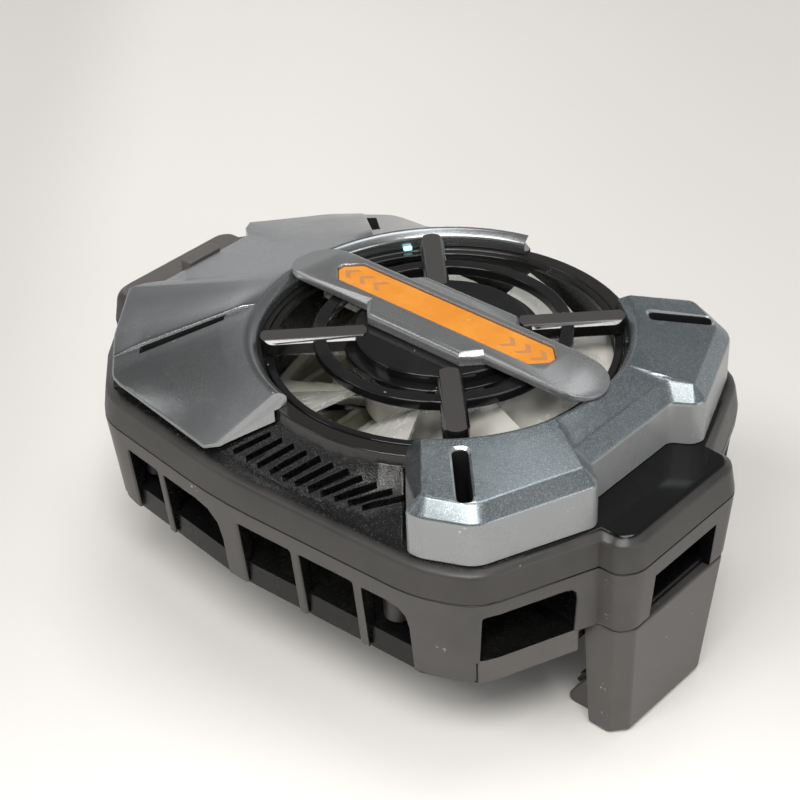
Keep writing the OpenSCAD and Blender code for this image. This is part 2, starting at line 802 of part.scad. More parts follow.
// Fan motor, hung from the top down
rotor_gap = 0.6;
rotor_top = cap_z - rotor_gap;
rotor_z = rotor_top - fan_h;
frame_t = 0.9;
frame_top = rotor_z - rotor_gap;
frame_z = frame_top - frame_t;
hub_wall = 0.8;
hub_t = 1;
magnet_t = 0.8;
air_gap = 0.45;
bearing_wall = 0.9;
bearing_r = shaft_r + shaft_play + bearing_wall;
post_wall = 0.8;
bearing_post_r = bearing_r + fit_gap + post_wall;
bearing_top = rotor_top - hub_t - 1.2;
shaft_top = rotor_top - 0.3;
blade_r = bore_r - tip_gap;
blade_t = 0.8;
blade_inset = 0.25;
blade_turn = 37;
blade_steps = 6;

// Screw-shaped blade that rises over its turn round the hub
module blade() {
    low = rotor_z + blade_inset + blade_t / 2;
    high = rotor_top - blade_inset - blade_t / 2;
    r_in = hub_r - hub_wall / 2;
    skin([for (k = [0 : blade_steps])
        let (a = blade_turn * (k / blade_steps - 0.5), z = mix(low, high, k / blade_steps), t = blade_t / 2)
        [for (q = [[r_in, z + t], [blade_r, z + t], [blade_r, z - t], [r_in, z - t]])
            [q[0] * cos(a), q[0] * sin(a), q[1]]]], true);
}
module fan_rotor() {
    color(clear_blade)
    translate([fan_x, 0, 0]) {
        tube(hub_r, hub_r - hub_wall, rotor_z, rotor_top);
        difference() {
            union() {
                translate([0, 0, rotor_top - hub_t])
                    cylinder(r = hub_r - hub_wall / 2, h = hub_t);
                translate([0, 0, bearing_top + 0.4])
                    cylinder(r = shaft_r + bearing_wall, h = rotor_top - bearing_top - 0.8);
            }
            cylinder(r = shaft_r + shaft_play, h = shaft_top + shaft_play);
        }
        for (i = [0 : blade_n - 1])
            rotate([0, 0, i * 360 / blade_n])
                blade();
    }
}

module fan_shaft() {
    color(steel)
        translate([fan_x, 0, frame_top + 0.2])
            cylinder(r = shaft_r, h = shaft_top - frame_top - 0.2);
}

module shaft_bearing() {
    color(copper)
        translate([fan_x, 0, 0])
            tube(bearing_r, shaft_r + shaft_play, frame_top, bearing_top);
}

module rotor_magnet() {
    magnet_r = hub_r - hub_wall - fit_gap;
    color(rubber)
        translate([fan_x, 0, 0])
            tube(magnet_r, magnet_r - magnet_t, rotor_z + 0.2, rotor_top - hub_t - 0.3);
}

pole_n = 6;
pole_w = 1.5;
core_r = hub_r - hub_wall - fit_gap - magnet_t - air_gap;
core_hub_r = bearing_post_r + 1;
core_t = 2.2;
core_z = frame_top + 1.2;
shoe_t = 0.9;
coil_gap = 0.05;
module stator_core() {
    color(steel)
    translate([fan_x, 0, 0]) {
        tube(core_hub_r, bearing_post_r + fit_gap, core_z, core_z + core_t);
        for (i = [0 : pole_n - 1])
            rotate([0, 0, i * 360 / pole_n]) {
                block([core_hub_r - 0.4, -pole_w / 2, core_z],
                    [core_r - shoe_t / 2, pole_w / 2, core_z + core_t]);
                intersection() {
                    tube(core_r, core_r - shoe_t, core_z, core_z + core_t);
                    block([0, -pole_w * 1.4, core_z], [far, pole_w * 1.4, core_z + core_t]);
                }
            }
    }
}

coil_t = 0.55;
module stator_windings() {
    in_x = core_hub_r + 0.5;
    out_x = core_r - shoe_t - 0.15;
    color(copper)
    translate([fan_x, 0, 0])
        for (i = [0 : pole_n - 1])
            rotate([0, 0, i * 360 / pole_n])
                difference() {
                    block([in_x, -pole_w / 2 - coil_gap - coil_t, core_z - coil_gap - coil_t],
                        [out_x, pole_w / 2 + coil_gap + coil_t, core_z + core_t + coil_gap + coil_t]);
                    block([0, -pole_w / 2 - coil_gap, core_z - coil_gap],
                        [far, pole_w / 2 + coil_gap, core_z + core_t + coil_gap]);
                }
}

strut_n = 3;
strut_w = 2.4;
module fan_frame() {
    ring_r = bore_r - guard_fit;
    color(shell_black)
    translate([fan_x, 0, 0]) {
        tube(ring_r, ring_r - 1.2, frame_z, frame_top);
        translate([0, 0, frame_z])
            cylinder(r = hub_r - hub_wall, h = frame_t);
        tube(bearing_post_r, bearing_r + fit_gap, frame_z, bearing_top);
        for (i = [0 : strut_n - 1])
            rotate([0, 0, 90 + i * 360 / strut_n])
                block([hub_r - hub_wall - 1, -strut_w / 2, frame_z], [ring_r - 0.6, strut_w / 2, frame_top]);
    }
}

// Cooler stack, from the pad up to the fan frame
plate_z = base_top + 0.4 - plate_t;
pad_z = plate_z - pad_t;
module_z = plate_z + plate_t;
sink_z = module_z + module_t;
sink_l0 = -module_l / 2 - 0.5;
sink_l1 = fan_x + bore_r - 0.6;
module heat_sink() {
    pitch = (sink_l1 - sink_l0 - fin_t) / (fin_n - 1);
    color(aluminium) {
        block([sink_l0, -sink_w / 2, sink_z], [sink_l1, sink_w / 2, sink_z + sink_t]);
        for (i = [0 : fin_n - 1])
            block([sink_l0 + i * pitch, -sink_w / 2, sink_z + sink_t / 2],
                [sink_l0 + i * pitch + fin_t, sink_w / 2, frame_z - fit_gap]);
    }
}

module cooling_module() {
    ceramic_t = 0.7;
    leg_w = 1.4;
    leg_n = 8;
    leg_pitch = (module_l - 2 - leg_w) / (leg_n - 1);
    color(ceramic) {
        block([-module_l / 2, -module_l / 2, module_z], [module_l / 2, module_l / 2, module_z + ceramic_t]);
        block([-module_l / 2, -module_l / 2, sink_z - ceramic_t], [module_l / 2, module_l / 2, sink_z]);
        for (i = [0 : leg_n - 1], j = [0 : leg_n - 1])
            translate([i * leg_pitch + 1 - module_l / 2, j * leg_pitch + 1 - module_l / 2,
                module_z + ceramic_t / 2])
                cube([leg_w, leg_w, module_t - ceramic_t]);
    }
}

flange_w = 1.2;
flange_t = 0.3;
module cold_plate() {
    color(aluminium) {
        block([-plate_l / 2, -plate_w / 2, plate_z], [plate_l / 2, plate_w / 2, module_z]);
        block([-plate_l / 2, -plate_w / 2 - flange_w, base_top + fit_gap],
            [plate_l / 2, plate_w / 2 + flange_w, base_top + fit_gap + flange_t]);
    }
}

module contact_pad() {
    color(rubber)
        block([-plate_l / 2, -plate_w / 2, pad_z], [plate_l / 2, plate_w / 2, plate_z]);
}

// Control board with a chip and a choke, and the power inlet
chip_w = 5;
chip_h = 0.9;
chip_back = 11;
choke_w = 3.5;
choke_h = 1.6;
choke_back = 5;
choke_side = 2.5;
module control_board() {
    color(board_green)
    difference() {
        union() {
            block([board_x0 + 4, -board_w / 2, board_z], [board_x1, board_w / 2, board_z + board_t]);
            block([board_x0, -usb_w / 2, board_z], [board_x0 + 5, usb_w / 2, board_z + board_t]);
            translate([board_x1 - chip_back, -chip_w, board_z + board_t / 2])
                cube([chip_w, chip_w, board_t / 2 + chip_h]);
            translate([board_x1 - choke_back, choke_side, board_z + board_t / 2])
                cube([choke_w, choke_w, board_t / 2 + choke_h]);
        }
        for (p = post_spots)
            translate([p[0], p[1], board_z - 1])
                cylinder(r = pilot_r + screw_gap, h = far);
    }
}

module board_screws() {
    color(steel)
    for (p = post_spots)
        translate([p[0], p[1], 0]) {
            translate([0, 0, board_z - 2.6])
                cylinder(r = pilot_r - screw_gap, h = board_t + 2.8);
            translate([0, 0, board_z + board_t])
                cylinder(r = 1.1, h = 0.7);
        }
}

module usb_socket() {
    shell_t = 0.3;
    color(steel) {
        difference() {
            usb_prism(usb_x, usb_x + usb_l, 0);
            usb_prism(usb_x - 1, usb_x + usb_l - 0.6, -shell_t);
        }
        block([usb_x + 1.2, -3.3, usb_z - 0.35], [usb_x + usb_l - 0.3, 3.3, usb_z + 0.35]);
    }
}

lamp_w = 1;
lamp_l = 0.4;
lamp_h = 0.5;
lamp_back = 0.1;
module status_lights() {
    lamp_z = rim_z + fit_gap;
    color("aqua")
    translate([fan_x, 0, 0])
        for (a = [143, 217, 323, 37])
            rotate([0, 0, a])
                block([trim_r - lamp_back - lamp_l, -lamp_w / 2, lamp_z],
                    [trim_r - lamp_back, lamp_w / 2, lamp_z + lamp_h]);
}

// Jaws
leg_lean = 0.075;
leg_taper = 0.085;
leg_top = base_top - slide_gap;
leg_out = end_x - lower_in(base_top);
leg_half = block_w / 2 - lower_in(base_top);
leg_face = block_face_w / 2 - lower_in(base_top) * 0.6;
function leg_plan(z) =
    let (
        fall = leg_top - z,
        x1 = leg_out - leg_lean * fall,
        y1 = leg_half - leg_taper * fall,
        y2 = leg_face - leg_taper * fall
    )
    rounded([[jaw_x, -y1], [x1 - block_cut, -y1], [x1, -y2], [x1, y2], [x1 - block_cut, y1], [jaw_x, y1]],
        [0, 0.3, 0.3, 0.3, 0.3, 0]);
hook_w = 13;
hook_h = 8.4;
hook_tip_h = 2.7;
grip_t = 0.8;
grip_w = 11;
ramp_dir = unit([hook_l, hook_h - hook_tip_h]);
ramp_up = left_of(ramp_dir);
hook_tip = [jaw_x - hook_l, hook_tip_h];
hook_root = [jaw_x, hook_h];
grip_end = hook_root - ramp_dir * (fit_gap - grip_t * ramp_up[0]) / ramp_dir[0];
module along_y(w) {
    translate([0, w / 2, 0])
        rotate([90, 0, 0])
            linear_extrude(w)
                children();
}
module jaw() {
    foot_bevel = 0.5;
    color(shell_black) {
        loft([0, foot_bevel, leg_top],
            [[for (p = leg_plan(0)) [p[0] - (p[0] > jaw_x + 1 ? foot_bevel : 0), p[1] * 0.96]],
                leg_plan(foot_bevel), leg_plan(leg_top)]);
        along_y(hook_w)
            polygon([[jaw_x + 0.5, 0], hook_root + [0.5, 0], hook_root,
                grip_end + fit_gap * ramp_dir, grip_end + fit_gap * ramp_dir - (grip_t + fit_gap) * ramp_up,
                hook_tip - (grip_t + fit_gap) * ramp_up, [hook_tip[0], hook_tip[1] - 2 * grip_t],
                [hook_tip[0], 0.4], [hook_tip[0] + 0.4, 0]]);
        block([tongue_in, -tongue_w / 2, tongue_z], [jaw_x + 1, tongue_w / 2, tongue_z + tongue_t]);
        block([tongue_in, -lug_w / 2, tongue_z], [tongue_in + lug_l, lug_w / 2, lug_top]);
    }
}
module jaw_pad() {
    rib_n = 4;
    rib_h = 0.25;
    run = norm(grip_end - hook_tip);
    color(rubber)
    along_y(grip_w) {
        polygon([hook_tip - grip_t * ramp_up, grip_end - grip_t * ramp_up, grip_end - 0.3 * ramp_up,
            hook_tip - 0.3 * ramp_up]);
        for (i = [1 : rib_n])
            translate(hook_tip + ramp_dir * run * i / (rib_n + 1) - 0.4 * ramp_up)
                rotate(atan2(ramp_dir[1], ramp_dir[0]))
                    square([0.5, 0.1 + rib_h]);
    }
}

// Jaw spring: one tube wound along X between the lug and the end stop
spring_x0 = tongue_in + lug_l + fit_gap;
spring_x1 = stop_x - fit_gap;
spring_r = (spring_d - spring_wire) / 2;
spring_pitch = (spring_x1 - spring_x0 - 2 * spring_wire) / spring_curls;
rings_per_curl = 8;
wire_sides = 6;
function coil_point(t) =
    [spring_x0 + spring_wire + spring_pitch * t, spring_r * cos(360 * t), spring_r * sin(360 * t)];
module jaw_spring() {
    rings = spring_curls * rings_per_curl;
    color(steel)
    translate([0, 0, spring_z])
        skin([for (k = [0 : rings])
            let (
                t = k / rings_per_curl,
                mid = coil_point(t),
                out = [0, cos(360 * t), sin(360 * t)],
                way = unit(coil_point(t + 0.01) - coil_point(t - 0.01)),
                side = cross(way, out)
            )
            [for (s = [0 : wire_sides - 1])
                let (a = 360 * s / wire_sides)
                mid + spring_wire / 2 * (cos(a) * out + sin(a) * side)]]);
}

module housing_screws() {
    color(steel)
    at_bosses() {
        translate([0, 0, base_z])
            cylinder(r = screw_r, h = deck_z - base_z - 4);
        translate([0, 0, base_z + 0.05])
            cylinder(r = head_r, h = head_h - 0.05);
    }
}

upper_housing();
lower_housing();
base_plate();
left_wing();
right_wing();
cross_bar();
label_plate();
fan_guard();
fan_rotor();
fan_shaft();
shaft_bearing();
rotor_magnet();
stator_core();
stator_windings();
fan_frame();
heat_sink();
cooling_module();
cold_plate();
contact_pad();
control_board();
board_screws();
status_lights();
usb_socket();
jaw();  // front_jaw
mirror([1, 0, 0]) jaw();  // rear_jaw
jaw_pad();  // front_jaw_pad
mirror([1, 0, 0]) jaw_pad();  // rear_jaw_pad
jaw_spring();  // front_jaw_spring
mirror([1, 0, 0]) jaw_spring();  // rear_jaw_spring
housing_screws();
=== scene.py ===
"""Dressed model of a clip-on phone cooling fan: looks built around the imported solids."""
import json
import math

import bmesh
import bpy
from mathutils import Matrix, Vector, geometry

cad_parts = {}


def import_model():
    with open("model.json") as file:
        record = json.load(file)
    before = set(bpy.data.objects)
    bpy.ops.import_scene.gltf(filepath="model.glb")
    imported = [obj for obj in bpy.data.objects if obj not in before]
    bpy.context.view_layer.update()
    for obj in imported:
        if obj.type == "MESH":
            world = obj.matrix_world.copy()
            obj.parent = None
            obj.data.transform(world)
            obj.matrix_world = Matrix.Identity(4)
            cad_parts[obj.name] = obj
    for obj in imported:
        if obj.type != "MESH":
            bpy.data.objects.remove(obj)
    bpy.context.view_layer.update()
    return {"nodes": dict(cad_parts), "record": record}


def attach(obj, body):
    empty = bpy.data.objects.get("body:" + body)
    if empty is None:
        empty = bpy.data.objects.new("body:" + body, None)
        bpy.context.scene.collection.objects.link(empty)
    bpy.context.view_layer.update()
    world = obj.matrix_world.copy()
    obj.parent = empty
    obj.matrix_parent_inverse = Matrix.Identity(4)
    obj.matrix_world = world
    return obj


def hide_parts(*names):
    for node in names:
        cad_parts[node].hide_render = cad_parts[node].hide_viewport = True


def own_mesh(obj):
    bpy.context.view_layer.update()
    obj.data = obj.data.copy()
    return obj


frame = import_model()
nodes = frame["nodes"]
scene = bpy.context.scene
scene.view_settings.view_transform = "Standard"

# Sizes of the solids in millimetres: the fan's middle, the walls' lean per millimetre, and the heights of
# the shells' joint, the ledge, the wings' feet, the top of the right wing's walls and the collar's foot
MM = 0.001
FAN_X = 6.35
LEAN = 0.09
SEAM_Z = 24.5
LEDGE_Z = 28.3
FOOT_Z = 28.35
WALL_Z = 33.3
COLLAR_Z = (32.9, 33.1)

# The ring round the fan that both wings end in: its radii from the inside out and its heights from below
RING_IN, RING_LIP, RING_CREST, RING_OUT = 20.0, 20.85, 21.2, 21.6
RING_UNDER, RING_EDGE, RING_TOP = 34.45, 35.7, 36.4

# Colours that several materials share, and the range of most values of one noise and of two added
SPECK = (0.4, 0.39, 0.37)
SEAM_BLACK = (0.004, 0.004, 0.004)
NOISE = (0.3, 0.7)
NOISES = (0.7, 1.3)


# Material graphs
class Graph:
    """A Principled material whose sockets are fed in the part's own millimetres."""

    def __init__(self, name, **sockets):
        self.mat = bpy.data.materials.new(name)
        self.mat.use_nodes = True
        self.tree = self.mat.node_tree
        self.tree.nodes.clear()
        self.out = self.tree.nodes.new("ShaderNodeOutputMaterial")
        self.bsdf = self.tree.nodes.new("ShaderNodeBsdfPrincipled")
        self.tree.links.new(self.bsdf.outputs[0], self.out.inputs["Surface"])
        coord = self.tree.nodes.new("ShaderNodeTexCoord").outputs["Object"]
        self.place = self.vector("SCALE", coord, scale=1000.0)
        for key, value in sockets.items():
            self.set(key.replace("_", " ").title().replace("Ior", "IOR"), value)

    def put(self, socket, value):
        if isinstance(value, bpy.types.NodeSocket):
            self.tree.links.new(value, socket)
        else:
            if socket.type == "RGBA" and len(value) == 3:
                value = (*value, 1.0)
            socket.default_value = value

    def set(self, name, value):
        self.put(self.bsdf.inputs[name], value)
        return self

    def node(self, kind, *values, **settings):
        made = self.tree.nodes.new("ShaderNode" + kind)
        for key, value in settings.items():
            setattr(made, key, value)
        for i, value in enumerate(values):
            if value is not None:
                self.put(made.inputs[i], value)
        return made

    def math(self, op, a, b=0.5, clamp=False):
        return self.node("Math", a, b, operation=op, use_clamp=clamp).outputs[0]

    def vector(self, op, a, b=None, scale=None):
        made = self.node("VectorMath", a, b, operation=op)
        if scale is not None:
            self.put(made.inputs["Scale"], scale)
        return made.outputs[0]

    def axes(self):
        return self.node("SeparateXYZ", self.place).outputs

    def noise(self, size, detail=2.0, rough=0.5, where=None):
        """Noise whose blobs are about size millimetres across."""
        made = self.node("TexNoise")
        self.put(made.inputs["Vector"], where or self.place)
        made.inputs["Scale"].default_value = 1.0 / size
        made.inputs["Detail"].default_value = detail
        made.inputs["Roughness"].default_value = rough
        return made.outputs["Fac"]

    def cells(self, size):
        """One random value per grain of about size millimetres."""
        made = self.node("TexVoronoi")
        self.put(made.inputs["Vector"], self.place)
        made.inputs["Scale"].default_value = 1.0 / size
        return self.node("SeparateXYZ", made.outputs["Color"]).outputs[0]

    def span(self, value, low, high, to_low=0.0, to_high=1.0):
        """Smooth step between two values while the input goes from low to high."""
        made = self.node("MapRange", value, low, high, to_low, to_high)
        made.interpolation_type = "SMOOTHSTEP"
        return made.outputs[0]

    def mix(self, amount, a, b):
        """Mix of two colours."""
        made = self.node("Mix", data_type="RGBA")
        self.put(made.inputs[0], amount)
        self.put(made.inputs[6], a)
        self.put(made.inputs[7], b)
        return made.outputs[2]

    def blend(self, amount, a, b):
        """Mix of two numbers."""
        made = self.node("Mix", data_type="FLOAT")
        self.put(made.inputs[0], amount)
        self.put(made.inputs[2], a)
        self.put(made.inputs[3], b)
        return made.outputs[0]

    def bump(self, height, depth):
        """Bump whose height of one stands depth millimetres proud."""
        made = self.node("Bump")
        made.inputs["Strength"].default_value = 1.0
        made.inputs["Distance"].default_value = depth * MM
        self.put(made.inputs["Height"], height)
        self.set("Normal", made.outputs[0])

    def dust(self, amount=0.985, size=1.1):
        """Sparse pale specks."""
        spot = self.cells(size)
        fine = self.noise(size * 0.35, 3.0)
        keep = self.math("GREATER_THAN", spot, amount)
        return self.math("MULTIPLY", keep, self.span(fine, 0.6, 0.72))

    def line(self, z):
        """Thin band round the height z in millimetres."""
        away = self.math("ABSOLUTE", self.math("SUBTRACT", self.axes()[2], z))
        return self.span(away, 0.16, 0.08)


def moulded(name, dark, light, rough=(0.36, 0.5), grain=0.12, depth=0.006, specks=True, seam=None):
    """Moulded plastic with a fine grain, cloudy wear, a few specks and, if named, a dark seam at a height."""
    g = Graph(name)
    cloud = g.noise(7.0, 4.0, 0.6)
    grit = g.noise(grain, 2.0)
    colour = g.mix(g.span(cloud, *NOISE), dark, light)
    if specks:
        colour = g.mix(g.dust(), colour, SPECK)
    if seam:
        colour = g.mix(g.line(seam), colour, SEAM_BLACK)
    g.set("Base Color", colour)
    wear = g.math("ADD", g.math("MULTIPLY", cloud, 0.6), g.math("MULTIPLY", grit, 0.4))
    g.set("Roughness", g.span(wear, *NOISE, *rough))
    g.bump(grit, depth)
    return g


def metal(name, dark, light, rough=(0.25, 0.4), streak=None, bare=1.0):
    """Bare metal with fine brushing along one axis or a plain fine grain. A lower bare gives a dull coat."""
    g = Graph(name, metallic=bare)
    where = g.vector("MULTIPLY", g.place, streak) if streak else g.place
    lines = g.noise(0.3, 3.0, 0.6, where)
    cloud = g.noise(5.0, 3.0)
    g.set("Base Color", g.mix(g.span(g.math("ADD", lines, cloud), *NOISES), dark, light))
    g.set("Roughness", g.span(lines, *NOISE, *rough))
    g.bump(lines, 0.004)
    return g


def trim_paint(name, dark, light, flake, rough, coat, wall=None):
    """Gunmetal paint: a satin coat with fine flakes. If named, a plainer, less metallic wall colour takes
    over below, a painted reflection standing in for the light that the walls mirror.
    """
    g = Graph(name, metallic=coat, specular_ior_level=0.5)
    cloud = g.noise(9.0, 4.0, 0.55)
    fine = g.noise(0.09, 2.0)
    spark = g.span(g.cells(0.085), 0.6, 1.0)
    colour = g.mix(g.span(cloud, *NOISE), dark, light)
    # Below the walls' top the colour is a painted reflection: plainer paint in place of mirrored light
    if wall:
        above = g.span(g.axes()[2], WALL_Z - 0.15, WALL_Z + 0.1)
        spark = g.math("MULTIPLY", spark, above)
        colour = g.mix(above, wall, colour)
        g.set("Metallic", g.blend(above, 0.15, coat))
    colour = g.mix(g.math("MULTIPLY", spark, flake), colour, (0.62, 0.68, 0.72))
    g.set("Base Color", g.mix(g.dust(0.988, 1.4), colour, (0.6, 0.6, 0.6)))
    g.set("Roughness", g.span(g.math("ADD", cloud, g.math("MULTIPLY", fine, 0.5)), 0.5, 1.0, *rough))
    g.bump(g.math("ADD", fine, g.math("MULTIPLY", spark, 2.0 * flake)), 0.004)
    return g


shell = moulded("shell_satin", (0.044, 0.041, 0.038), (0.06, 0.056, 0.052), seam=SEAM_Z)
base_shell = moulded("base_satin", (0.07, 0.064, 0.06), (0.09, 0.082, 0.077))
jaw_shell = moulded("jaw_satin", (0.062, 0.058, 0.054), (0.08, 0.075, 0.07), rough=(0.34, 0.46))
frame_milky = moulded("frame_milky", (0.58, 0.58, 0.5), (0.68, 0.68, 0.6),
                      rough=(0.3, 0.45), grain=0.3, depth=0.004, specks=False)
wing_smooth = trim_paint("wing_satin", (0.268, 0.28, 0.284), (0.318, 0.33, 0.335),
                         flake=0.05, rough=(0.24, 0.28), coat=0.88)
# The right wing's lighter wall colour is a painted reflection of the bright floor in its walls
wing_flake = trim_paint("wing_flake", (0.15, 0.174, 0.183), (0.185, 0.21, 0.22),
                        flake=0.32, rough=(0.25, 0.3), coat=0.72, wall=(0.27, 0.28, 0.28))
bar_paint = trim_paint("bar_satin", (0.265, 0.269, 0.271), (0.295, 0.299, 0.301),
                       flake=0.05, rough=(0.26, 0.3), coat=0.65)


def upper_shell():
    """Top shell: satin walls, black glinting grain on the ledge and slope, gloss front block, dark collar."""
    g = Graph("upper_shell")
    x, _, z = g.axes()
    collar = g.span(z, *COLLAR_Z)
    cloud = g.noise(7.0, 4.0, 0.6)
    grit = g.noise(0.12, 2.0)
    coarse = g.noise(0.16, 2.0, 0.6)
    deck = g.math("MULTIPLY", g.span(z, LEDGE_Z - 0.4, LEDGE_Z), g.span(z, *COLLAR_Z[::-1]))
    gloss = g.math("MULTIPLY", g.span(x, 31.1, 31.3), g.span(z, 28.0, 28.2))
    rear = g.span(x, -30.9, -31.3)
    deck = g.math("SUBTRACT", g.math("SUBTRACT", deck, gloss, clamp=True), rear, clamp=True)
    wall = g.mix(g.span(cloud, *NOISE), (0.029, 0.027, 0.025), (0.042, 0.039, 0.037))
    wall = g.mix(collar, wall, (0.016, 0.015, 0.014))
    wall = g.mix(g.math("MULTIPLY", rear, g.span(z, 27.9, 28.2)), wall, (0.11, 0.1, 0.094))
    wall = g.mix(g.dust(), wall, SPECK)
    wall = g.mix(g.line(SEAM_Z), wall, SEAM_BLACK)
    grain = g.mix(g.span(g.cells(0.12), 0.9, 1.0), (0.006, 0.006, 0.006), (0.05, 0.05, 0.05))
    colour = g.mix(deck, wall, grain)
    g.set("Base Color", g.mix(gloss, colour, (0.004, 0.004, 0.004)))
    rough = g.span(g.math("ADD", cloud, grit), *NOISES, 0.36, 0.5)
    rough = g.blend(collar, rough, g.span(grit, *NOISE, 0.12, 0.2))
    rough = g.blend(deck, rough, g.span(grit, *NOISE, 0.2, 0.34))
    g.set("Roughness", g.blend(gloss, rough, g.span(cloud, *NOISE, 0.07, 0.15)))
    height = g.blend(deck, g.math("MULTIPLY", grit, 0.15), coarse)
    g.bump(g.blend(gloss, height, g.math("MULTIPLY", cloud, 0.1)), 0.04)
    return g


def guard_plastic():
    """Gloss black guard whose arm tops are rougher and painted lighter, a painted sheen of the light that the
    glossy tops catch.
    """
    g = Graph("guard_gloss")
    z = g.axes()[2]
    cloud = g.noise(6.0, 4.0, 0.6)
    fine = g.noise(0.2, 2.0)
    top = g.span(z, 36.28, 36.36)
    colour = g.mix(g.span(cloud, *NOISE), (0.006, 0.006, 0.006), (0.011, 0.011, 0.011))
    # The lighter colour on the tops is painted sheen
    colour = g.mix(top, colour, (0.047, 0.0435, 0.0415))
    g.set("Base Color", g.mix(g.dust(0.98, 0.9), colour, (0.35, 0.34, 0.33)))
    rough = g.span(g.math("ADD", cloud, fine), *NOISES, 0.08, 0.18)
    g.set("Roughness", g.blend(top, rough, g.span(fine, *NOISE, 0.4, 0.5)))
    g.bump(fine, 0.002)
    return g


def label_paint():
    """Orange inlay with three plain chevrons at each end."""
    g = Graph("label_orange")
    first, last, pitch, soft = 9.3, 14.6, 2.1, 0.15
    x, y, _ = g.axes()
    along = g.math("ABSOLUTE", g.math("SUBTRACT", x, FAN_X))
    across = g.math("ABSOLUTE", y)
    lean = g.math("ADD", along, across)
    mark = g.math("MULTIPLY", g.span(lean, first, first + soft), g.span(lean, last, last - soft))
    step = g.math("FRACT", g.math("DIVIDE", g.math("SUBTRACT", lean, first), pitch))
    bar = g.math("MULTIPLY", g.span(step, 0.0, 0.06), g.span(step, 0.4, 0.34))
    mark = g.math("MULTIPLY", g.math("MULTIPLY", mark, bar), g.span(across, 1.0, 0.92))
    cloud = g.noise(4.0, 4.0, 0.6)
    fine = g.noise(0.12, 2.0)
    colour = g.mix(g.span(cloud, *NOISE), (0.72, 0.25, 0.026), (0.79, 0.31, 0.038))
    colour = g.mix(g.math("MULTIPLY", mark, 0.7), colour, (0.42, 0.2, 0.1))
    g.set("Base Color", g.mix(g.dust(0.97, 0.8), colour, (0.8, 0.7, 0.6)))
    g.set("Roughness", g.span(g.math("ADD", cloud, fine), *NOISES, 0.3, 0.45))
    g.bump(fine, 0.004)
    return g


def clear_plastic():
    """Milky clear plastic of the fan."""
    g = Graph("blade_clear", transmission_weight=0.4, ior=1.3)
    cloud = g.noise(5.0, 4.0, 0.6)
    fine = g.noise(1.5, 3.0)
    g.set("Base Color", g.mix(g.span(cloud, *NOISE), (0.8, 0.79, 0.73), (0.9, 0.89, 0.84)))
    g.set("Roughness", g.span(g.math("ADD", cloud, fine), *NOISES, 0.14, 0.3))
    g.bump(fine, 0.008)
    return g


def lamp_lens():
    """Small lens lamps, of which the one at the rear left glows."""
    g = Graph("lamp_lens")
    x, y, _ = g.axes()
    lit = g.math("MULTIPLY", g.span(x, 0.0, -1.0), g.span(y, 0.0, 1.0))
    fine = g.noise(0.25, 2.0)
    core = g.span(fine, *NOISE, 0.75, 1.0)
    colour = g.mix(lit, (0.012, 0.014, 0.015), (0.35, 0.85, 0.95))
    g.set("Base Color", g.mix(g.math("MULTIPLY", fine, 0.1), colour, (0.3, 0.4, 0.42)))
    g.set("Emission Color", g.mix(fine, (0.25, 0.9, 1.0), (0.7, 1.0, 1.0)))
    g.set("Emission Strength", g.math("MULTIPLY", g.math("MULTIPLY", lit, core), 1.6))
    g.set("Roughness", g.span(fine, *NOISE, 0.12, 0.3))
    return g


def circuit_board():
    """Green board with darker tracks and tin pads."""
    g = Graph("board_green")
    x, y, z = g.axes()
    tracks = g.math("FRACT", g.math("MULTIPLY", g.math("ADD", x, g.math("MULTIPLY", y, 0.5)), 0.7))
    line = g.math("MULTIPLY", g.span(tracks, 0.0, 0.08), g.span(tracks, 0.45, 0.37))
    cloud = g.noise(3.0, 3.0)
    pads = g.math("GREATER_THAN", g.cells(1.1), 0.9)
    top = g.span(z, 23.0, 23.2)
    colour = g.mix(g.math("MULTIPLY", line, 0.6), (0.012, 0.14, 0.06), (0.03, 0.24, 0.1))
    colour = g.mix(g.math("MULTIPLY", pads, g.math("SUBTRACT", 1.0, top)), colour, (0.6, 0.58, 0.5))
    g.set("Base Color", g.mix(top, colour, (0.02, 0.02, 0.022)))
    g.set("Roughness", g.span(cloud, *NOISE, 0.3, 0.45))
    g.bump(line, 0.03)
    return g


gloss_black = guard_plastic()
rubber = moulded("grip_rubber", (0.02, 0.02, 0.02), (0.032, 0.032, 0.031),
                 rough=(0.6, 0.8), grain=0.2, depth=0.01)
ceramic = moulded("ceramic_white", (0.68, 0.66, 0.62), (0.78, 0.77, 0.73),
                  rough=(0.5, 0.65), grain=0.15, depth=0.004)
steel = metal("steel_plain", (0.42, 0.43, 0.44), (0.58, 0.59, 0.6))
aluminium = metal("aluminium_brushed", (0.5, 0.51, 0.52), (0.68, 0.69, 0.7),
                  rough=(0.3, 0.45), streak=(0.08, 1.0, 1.0))
fin_metal = metal("fin_dull", (0.72, 0.72, 0.62), (0.82, 0.82, 0.72),
                  rough=(0.4, 0.55), streak=(0.08, 1.0, 1.0), bare=0.25)
bronze = metal("bronze_sintered", (0.4, 0.25, 0.12), (0.6, 0.4, 0.2), rough=(0.4, 0.55))
copper = metal("copper_wire", (0.5, 0.2, 0.08), (0.75, 0.34, 0.15),
               rough=(0.25, 0.4), streak=(1.0, 1.0, 0.15))
ferrite = moulded("magnet_ferrite", (0.02, 0.02, 0.022), (0.04, 0.04, 0.042),
                  rough=(0.45, 0.6), grain=0.2, depth=0.008, specks=False)
# Near-black painted shade for the faces inside the wings' slots, which are dark because they lie in shade
slot_painted_shade = moulded("slot_painted_shade", (0.006, 0.006, 0.006), (0.01, 0.01, 0.01),
                     rough=(0.5, 0.7), grain=0.2, specks=False)
